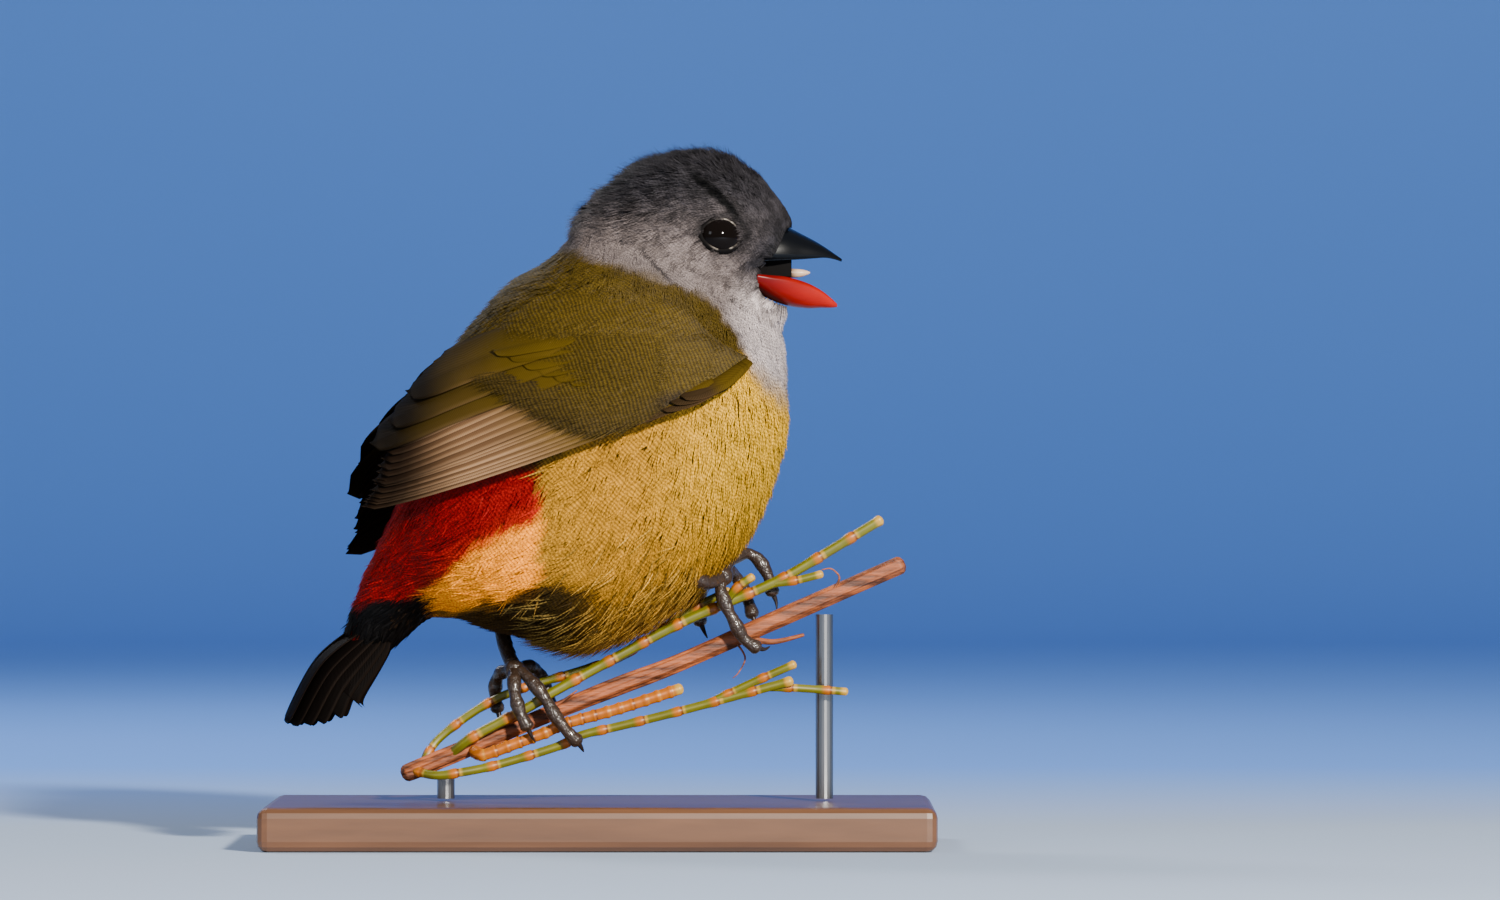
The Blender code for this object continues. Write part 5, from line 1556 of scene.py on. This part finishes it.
# Loose bark on the stem: radius at its root and tip, and its path.
BRACTS = (
    (0.3, 0.08, ((-6.4, -0.6, 15.2), (-4.4, -1.0, 16.3), (-2.6, -1.3, 17.6))),
    (0.42, 0.2, ((16.6, 0.3, 23.6), (19.6, -0.3, 23.1), (23.1, -0.8, 23.9))),
    (0.14, 0.05, ((15.6, -0.5, 22.9), (16.5, -0.9, 21.3), (15.8, -0.9, 19.7), (15.1, -0.8, 19.0))),
    (0.16, 0.06, ((26.5, -0.6, 29.0), (27.2, -0.9, 30.4), (26.3, -1.0, 31.4), (25.2, -0.9, 31.3))),
)


def bark_material():
    """Bark streaked along the stem, which rises by 23 degrees."""
    material = new_material("Ridged bark", roughness=0.6)
    tree = material.node_tree
    along = stretched(tree, (70.0, 1000.0, 1000.0), math.radians(23.0))
    streak = noise(tree, 1.0, 5.0, along, 0.65)
    stem = colour("stem")
    share = spread_out(tree, streak, 0.38, 0.62)
    tone = mix_colours(tree, share, stem * 0.22, np.minimum(stem * 1.5, 1.0))
    return finish_surface(material, tone, streak, 0.9, 0.0003)


def twig_material():
    """Green twig with amber joints, pale collars, dark joint rings and painted shade in its furrows, each
    where its mask is.
    """
    material = new_material("Green twig", roughness=0.45)
    tree = material.node_tree
    green, joint = colour("twig"), colour("joint")
    tone = mix_colours(tree, noise(tree, 350.0), green * 0.6, green * 1.3)
    amber = mix_colours(tree, noise(tree, 700.0), joint * 0.6, joint * 1.2)
    tone = mix_colours(tree, read_attribute(tree, "amber"), tone, amber)
    tone = mix_colours(tree, read_attribute(tree, "collar"), tone, srgb(196, 150, 50))
    tone = mix_colours(tree, read_attribute(tree, "furrow_shade_and_ring"), tone, (0.16, 0.11, 0.06), "MULTIPLY")
    return finish_surface(material, tone)


def grow_twig(name, route, radius, spacing, start, beaded):
    """A jointed twig with masks for its amber ends, its pale collars, and its dark rings with the painted
    shade in its furrows.
    """
    sides = 18
    path = smooth_path(route, 0.18)
    travelled = np.concatenate(((0.0,), np.cumsum(np.linalg.norm(np.diff(path, axis=0), axis=1))))
    phase = (travelled / spacing + start) % 1.0
    swell = smooth_step(0.55, 0.85, phase)
    amber = np.ones(len(path)) if beaded else smooth_step(0.66, 0.84, phase) * 0.95
    notch = np.exp(-((phase - 0.97) / 0.035) ** 2)
    collar = smooth_step(0.1, 0.03, phase) * (0.35 if beaded else 0.7)
    collar = np.maximum(collar, smooth_step(travelled[-1] - 0.8, travelled[-1] - 0.2, travelled))
    radii = radius * (0.94 + 0.16 * swell - 0.22 * notch)
    made = add_tube(name, path, radii, sides, lambda step, angles: 1 + 0.05 * np.cos(6 * angles))
    # Painted shade in the furrows between the twig's ridges; the dark ring at each joint is the twig's own.
    furrow = (0.5 - 0.5 * np.cos(6 * np.arange(sides) * TURN / sides)) * 0.35
    ends = np.clip(np.arange(-2, len(path) + 2), 0, len(path) - 1)
    furrow_shade_and_ring = np.maximum(np.tile(furrow, len(ends)), np.repeat(notch[ends] * 0.9, sides))
    amber, collar = (np.repeat(values[ends], sides) for values in (amber, collar))
    for mask, values in (("amber", amber), ("collar", collar), ("furrow_shade_and_ring", furrow_shade_and_ring)):
        set_attribute(made.data, mask, np.concatenate((values, values[:1], values[-1:])))
    return made


def build_perch():
    path = smooth_path(STEM_PATH, 0.35)
    rng = np.random.default_rng(41)
    phase = rng.uniform(0, TURN, 3)

    def ridges(step, angles):
        twist = step * 0.012
        ripple = 0.08 * np.cos(7 * angles + phase[0] + twist) + 0.04 * np.cos(13 * angles + phase[1])
        return 1 + ripple * (0.8 + 0.4 * math.sin(step * 0.09))

    radii = np.full(len(path), 0.98) * (1 + 0.04 * np.sin(np.arange(len(path)) * 0.11))
    pieces = [add_tube("stem", path, radii, 56, ridges)]
    for thick, thin, route in BRACTS:
        path = smooth_path(route, 0.2)
        pieces.append(add_tube("bract", path, np.linspace(thick, thin, len(path)), 10))
    finish_piece(join_pieces("stem_bark", pieces), bark_material(), "stem_bark", "perch_stem")
    green = twig_material()
    for number, (name, (radius, route)) in enumerate(TWIGS.items()):
        beaded = name == "perch_twig_short"
        spacing = BEAD_SPACING if beaded else JOINT_SPACING
        pieces = [grow_twig(name + "_main", route, radius, spacing, 0.37 * number, beaded)]
        for side_route in SIDE_TWIGS.get(name, ()):
            side_twig = grow_twig(
                name + "_side", side_route, SIDE_TWIG_RADIUS, JOINT_SPACING, 0.3, False)
            pieces.append(side_twig)
        made = join_pieces(name + "_grown", pieces, ("amber", "collar", "furrow_shade_and_ring"))
        finish_piece(made, green, "green_twig", name)


# Stand

def wood_material():
    material = new_material("Walnut", roughness=0.4, coat=0.2)
    tree = material.node_tree
    along = stretched(tree, (22.0, 260.0, 200.0))
    grain = noise(tree, 1.0, 6.0, along, 0.62)
    wood = colour("wood")
    tone = mix_colours(tree, grain, wood * 0.45, wood * 1.7)
    pores = mix_colours(tree, noise(tree, 4.0, 2.0, along), (0.5, 0.5, 0.5), (1.0, 1.0, 1.0))
    tone = mix_colours(tree, 0.35, tone, pores, "MULTIPLY")
    return finish_surface(material, tone, grain, 0.15, 0.0002)


def steel_material():
    material = new_material("Brushed steel", roughness=0.3, metallic=1.0)
    tree = material.node_tree
    streak = noise(tree, 1.0, 3.0, stretched(tree, (3000.0, 3000.0, 60.0)))
    rough = tree.nodes["Principled BSDF"].inputs["Roughness"]
    tree.links.new(math_node(tree, "MULTIPLY_ADD", streak, 0.2, 0.2), rough)
    return finish_surface(material, mix_colours(tree, streak, (0.2, 0.2, 0.21), (0.34, 0.34, 0.35)))


def dress_stand():
    wood, steel = wood_material(), steel_material()
    for name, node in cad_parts.items():
        if name.startswith("stand_"):
            node.data.materials.clear()
            node.data.materials.append(wood if name == "stand_base" else steel)


# Stage

# Backdrop, in metres: half its width, its front edge, where its floor starts to curve up, past the
# far views' camera, the curve's radius and steps, its top, and where the floor's tone gives way to sky.
HALF_WIDTH = 2.4
FLOOR_FRONT = -1.4
SWEEP_START = 1.25
SWEEP_RADIUS = 0.5
SWEEP_STEPS = 12
SWEEP_TOP = 2.4
FLOOR_STOPS = (0.06, 0.3)
# Lights: name, place, side, power as a share of the key light's, and tint. They face the subject.
LIGHTS = (
    ("key", (0.38, -0.9, 0.42), 0.07, 1.0, (1.0, 0.95, 0.86)),
    ("fill", (-0.9, -0.9, 0.5), 0.3, 0.08, (0.88, 0.94, 1.0)),
    ("rim", (-0.35, 0.5, 0.5), 0.2, 0.08, (1.0, 1.0, 1.0)),
)
SUBJECT = Vector((0.0, 0.0, 0.045))
# Middle of the photo's view, as x and z, and its width at the subject.
VIEW_AT = (0.01705, 0.0449)
VIEW_WIDTH = 0.17045


def build_sweep():
    """Pale floor that passes into a sky blue backdrop."""
    profile = [(y, 0.0) for y in (FLOOR_FRONT, *FLOOR_STOPS, SWEEP_START)]
    for k in range(1, SWEEP_STEPS + 1):
        a = math.pi / 2 * k / SWEEP_STEPS
        rise = SWEEP_RADIUS - SWEEP_RADIUS * math.cos(a)
        profile.append((SWEEP_START + SWEEP_RADIUS * math.sin(a), rise))
    profile.append((SWEEP_START + SWEEP_RADIUS, SWEEP_TOP))
    verts = [(x / MM, y / MM, z / MM) for y, z in profile for x in (-HALF_WIDTH, HALF_WIDTH)]
    faces = [(2 * k, 2 * k + 1, 2 * k + 3, 2 * k + 2) for k in range(len(profile) - 1)]
    sweep = link_mesh("backdrop_sweep", verts, faces)
    far = [float(y > FLOOR_STOPS[0]) for y, _ in profile]
    set_attribute(sweep.data, "far", np.repeat(far, 2))
    paper = new_material("Pale paper", roughness=0.9)
    tree = paper.node_tree
    sky = mix_colours(tree, noise(tree, 3.0, 2.0), (0.12, 0.33, 0.92), (0.14, 0.36, 0.96))
    finish_surface(paper, mix_colours(tree, read_attribute(tree, "far"), (0.36, 0.45, 0.6), sky))
    sweep.data.materials.append(paper)


def build_stage():
    """The sweep, a pale world, three lights and the camera."""
    settings = bpy.context.scene.waxbill_stage
    build_sweep()
    world = bpy.data.worlds.new("Studio")
    world.use_nodes = True
    light = world.node_tree.nodes["Background"].inputs
    light["Color"].default_value = (0.75, 0.82, 0.92, 1.0)
    light["Strength"].default_value = 0.28
    bpy.context.scene.world = world
    for name, place, size, share, tint in LIGHTS:
        lamp = bpy.data.lights.new(name, "AREA")
        lamp.size = size
        lamp.energy = settings.key_power * share
        lamp.color = tint
        made = link_object(name, lamp)
        made.location = place
        made.rotation_euler = (SUBJECT - Vector(place)).to_track_quat("-Z", "Y").to_euler()
    camera = bpy.data.cameras.new("camera")
    camera.sensor_width = 36.0
    camera.lens = camera.sensor_width * settings.camera_distance / VIEW_WIDTH
    camera.clip_start = 0.05
    camera.clip_end = 20.0
    made = link_object("camera", camera)
    made.location = (VIEW_AT[0], -settings.camera_distance, VIEW_AT[1])
    made.rotation_euler = (math.radians(90.0), 0.0, 0.0)
    bpy.context.scene.camera = made


# Operators

class WAXBILL_OT_skin(bpy.types.Operator):
    """Build the one skin that lies under the coat"""

    bl_idname = "waxbill.skin"
    bl_label = "Skin"

    def execute(self, context):
        build_skin()
        return {"FINISHED"}


class WAXBILL_OT_coat(bpy.types.Operator):
    """Cover the body and head with feather tufts"""

    bl_idname = "waxbill.coat"
    bl_label = "Coat"

    def execute(self, context):
        build_coat()
        return {"FINISHED"}


class WAXBILL_OT_eyes(bpy.types.Operator):
    """Build both eyes and their lids"""

    bl_idname = "waxbill.eyes"
    bl_label = "Eyes"

    def execute(self, context):
        build_eyes()
        return {"FINISHED"}


class WAXBILL_OT_bill(bpy.types.Operator):
    """Build the open bill and the tongue"""

    bl_idname = "waxbill.bill"
    bl_label = "Bill"

    def execute(self, context):
        build_bill()
        return {"FINISHED"}


class WAXBILL_OT_wings(bpy.types.Operator):
    """Build the feathers and coverts of both wings"""

    bl_idname = "waxbill.wings"
    bl_label = "Wings"

    def execute(self, context):
        for word in SIDES:
            build_wing(word)
        return {"FINISHED"}


class WAXBILL_OT_tail(bpy.types.Operator):
    """Build the tail feathers and their coverts"""

    bl_idname = "waxbill.tail"
    bl_label = "Tail"

    def execute(self, context):
        build_tail()
        return {"FINISHED"}


class WAXBILL_OT_legs(bpy.types.Operator):
    """Build the scaled legs, the toes and the claws"""

    bl_idname = "waxbill.legs"
    bl_label = "Legs"

    def execute(self, context):
        build_legs()
        return {"FINISHED"}


class WAXBILL_OT_perch(bpy.types.Operator):
    """Build the ridged stem and the jointed twigs"""

    bl_idname = "waxbill.perch"
    bl_label = "Perch"

    def execute(self, context):
        build_perch()
        return {"FINISHED"}


class WAXBILL_OT_stand(bpy.types.Operator):
    """Finish the base and rods of the stand"""

    bl_idname = "waxbill.stand"
    bl_label = "Stand"

    def execute(self, context):
        dress_stand()
        return {"FINISHED"}


class WAXBILL_OT_stage(bpy.types.Operator):
    """Set the floor, backdrop, lights and camera"""

    bl_idname = "waxbill.stage"
    bl_label = "Stage"

    def execute(self, context):
        build_stage()
        return {"FINISHED"}


OPERATORS = (
    WAXBILL_OT_skin, WAXBILL_OT_coat, WAXBILL_OT_eyes, WAXBILL_OT_bill, WAXBILL_OT_wings, WAXBILL_OT_tail,
    WAXBILL_OT_legs, WAXBILL_OT_perch, WAXBILL_OT_stand, WAXBILL_OT_stage,
)


class WAXBILL_PT_panel(bpy.types.Panel):
    """Sidebar panel with the waxbill's sizes, colours and building steps"""

    bl_idname = "WAXBILL_PT_panel"
    bl_label = "Waxbill"
    bl_space_type = "VIEW_3D"
    bl_region_type = "UI"
    bl_category = "Waxbill"

    def draw(self, context):
        scene = context.scene
        for settings in (scene.waxbill_sizes, scene.waxbill_colours, scene.waxbill_stage):
            box = self.layout.box()
            for name in settings.__annotations__:
                box.prop(settings, name)
        for operator in OPERATORS:
            self.layout.operator(operator.bl_idname)


SETTINGS = {
    "waxbill_sizes": WaxbillSizes, "waxbill_colours": WaxbillColours, "waxbill_stage": StageSettings,
}


def register():
    for name, group in SETTINGS.items():
        bpy.utils.register_class(group)
        setattr(bpy.types.Scene, name, bpy.props.PointerProperty(type=group))
    for operator in OPERATORS:
        bpy.utils.register_class(operator)
    bpy.utils.register_class(WAXBILL_PT_panel)


def unregister():
    bpy.utils.unregister_class(WAXBILL_PT_panel)
    for operator in reversed(OPERATORS):
        bpy.utils.unregister_class(operator)
    for name, group in SETTINGS.items():
        delattr(bpy.types.Scene, name)
        bpy.utils.unregister_class(group)


def main():
    register()
    for operator in OPERATORS:
        section, action = operator.bl_idname.split(".")
        getattr(getattr(bpy.ops, section), action)()


if __name__ == "__main__":
    main()
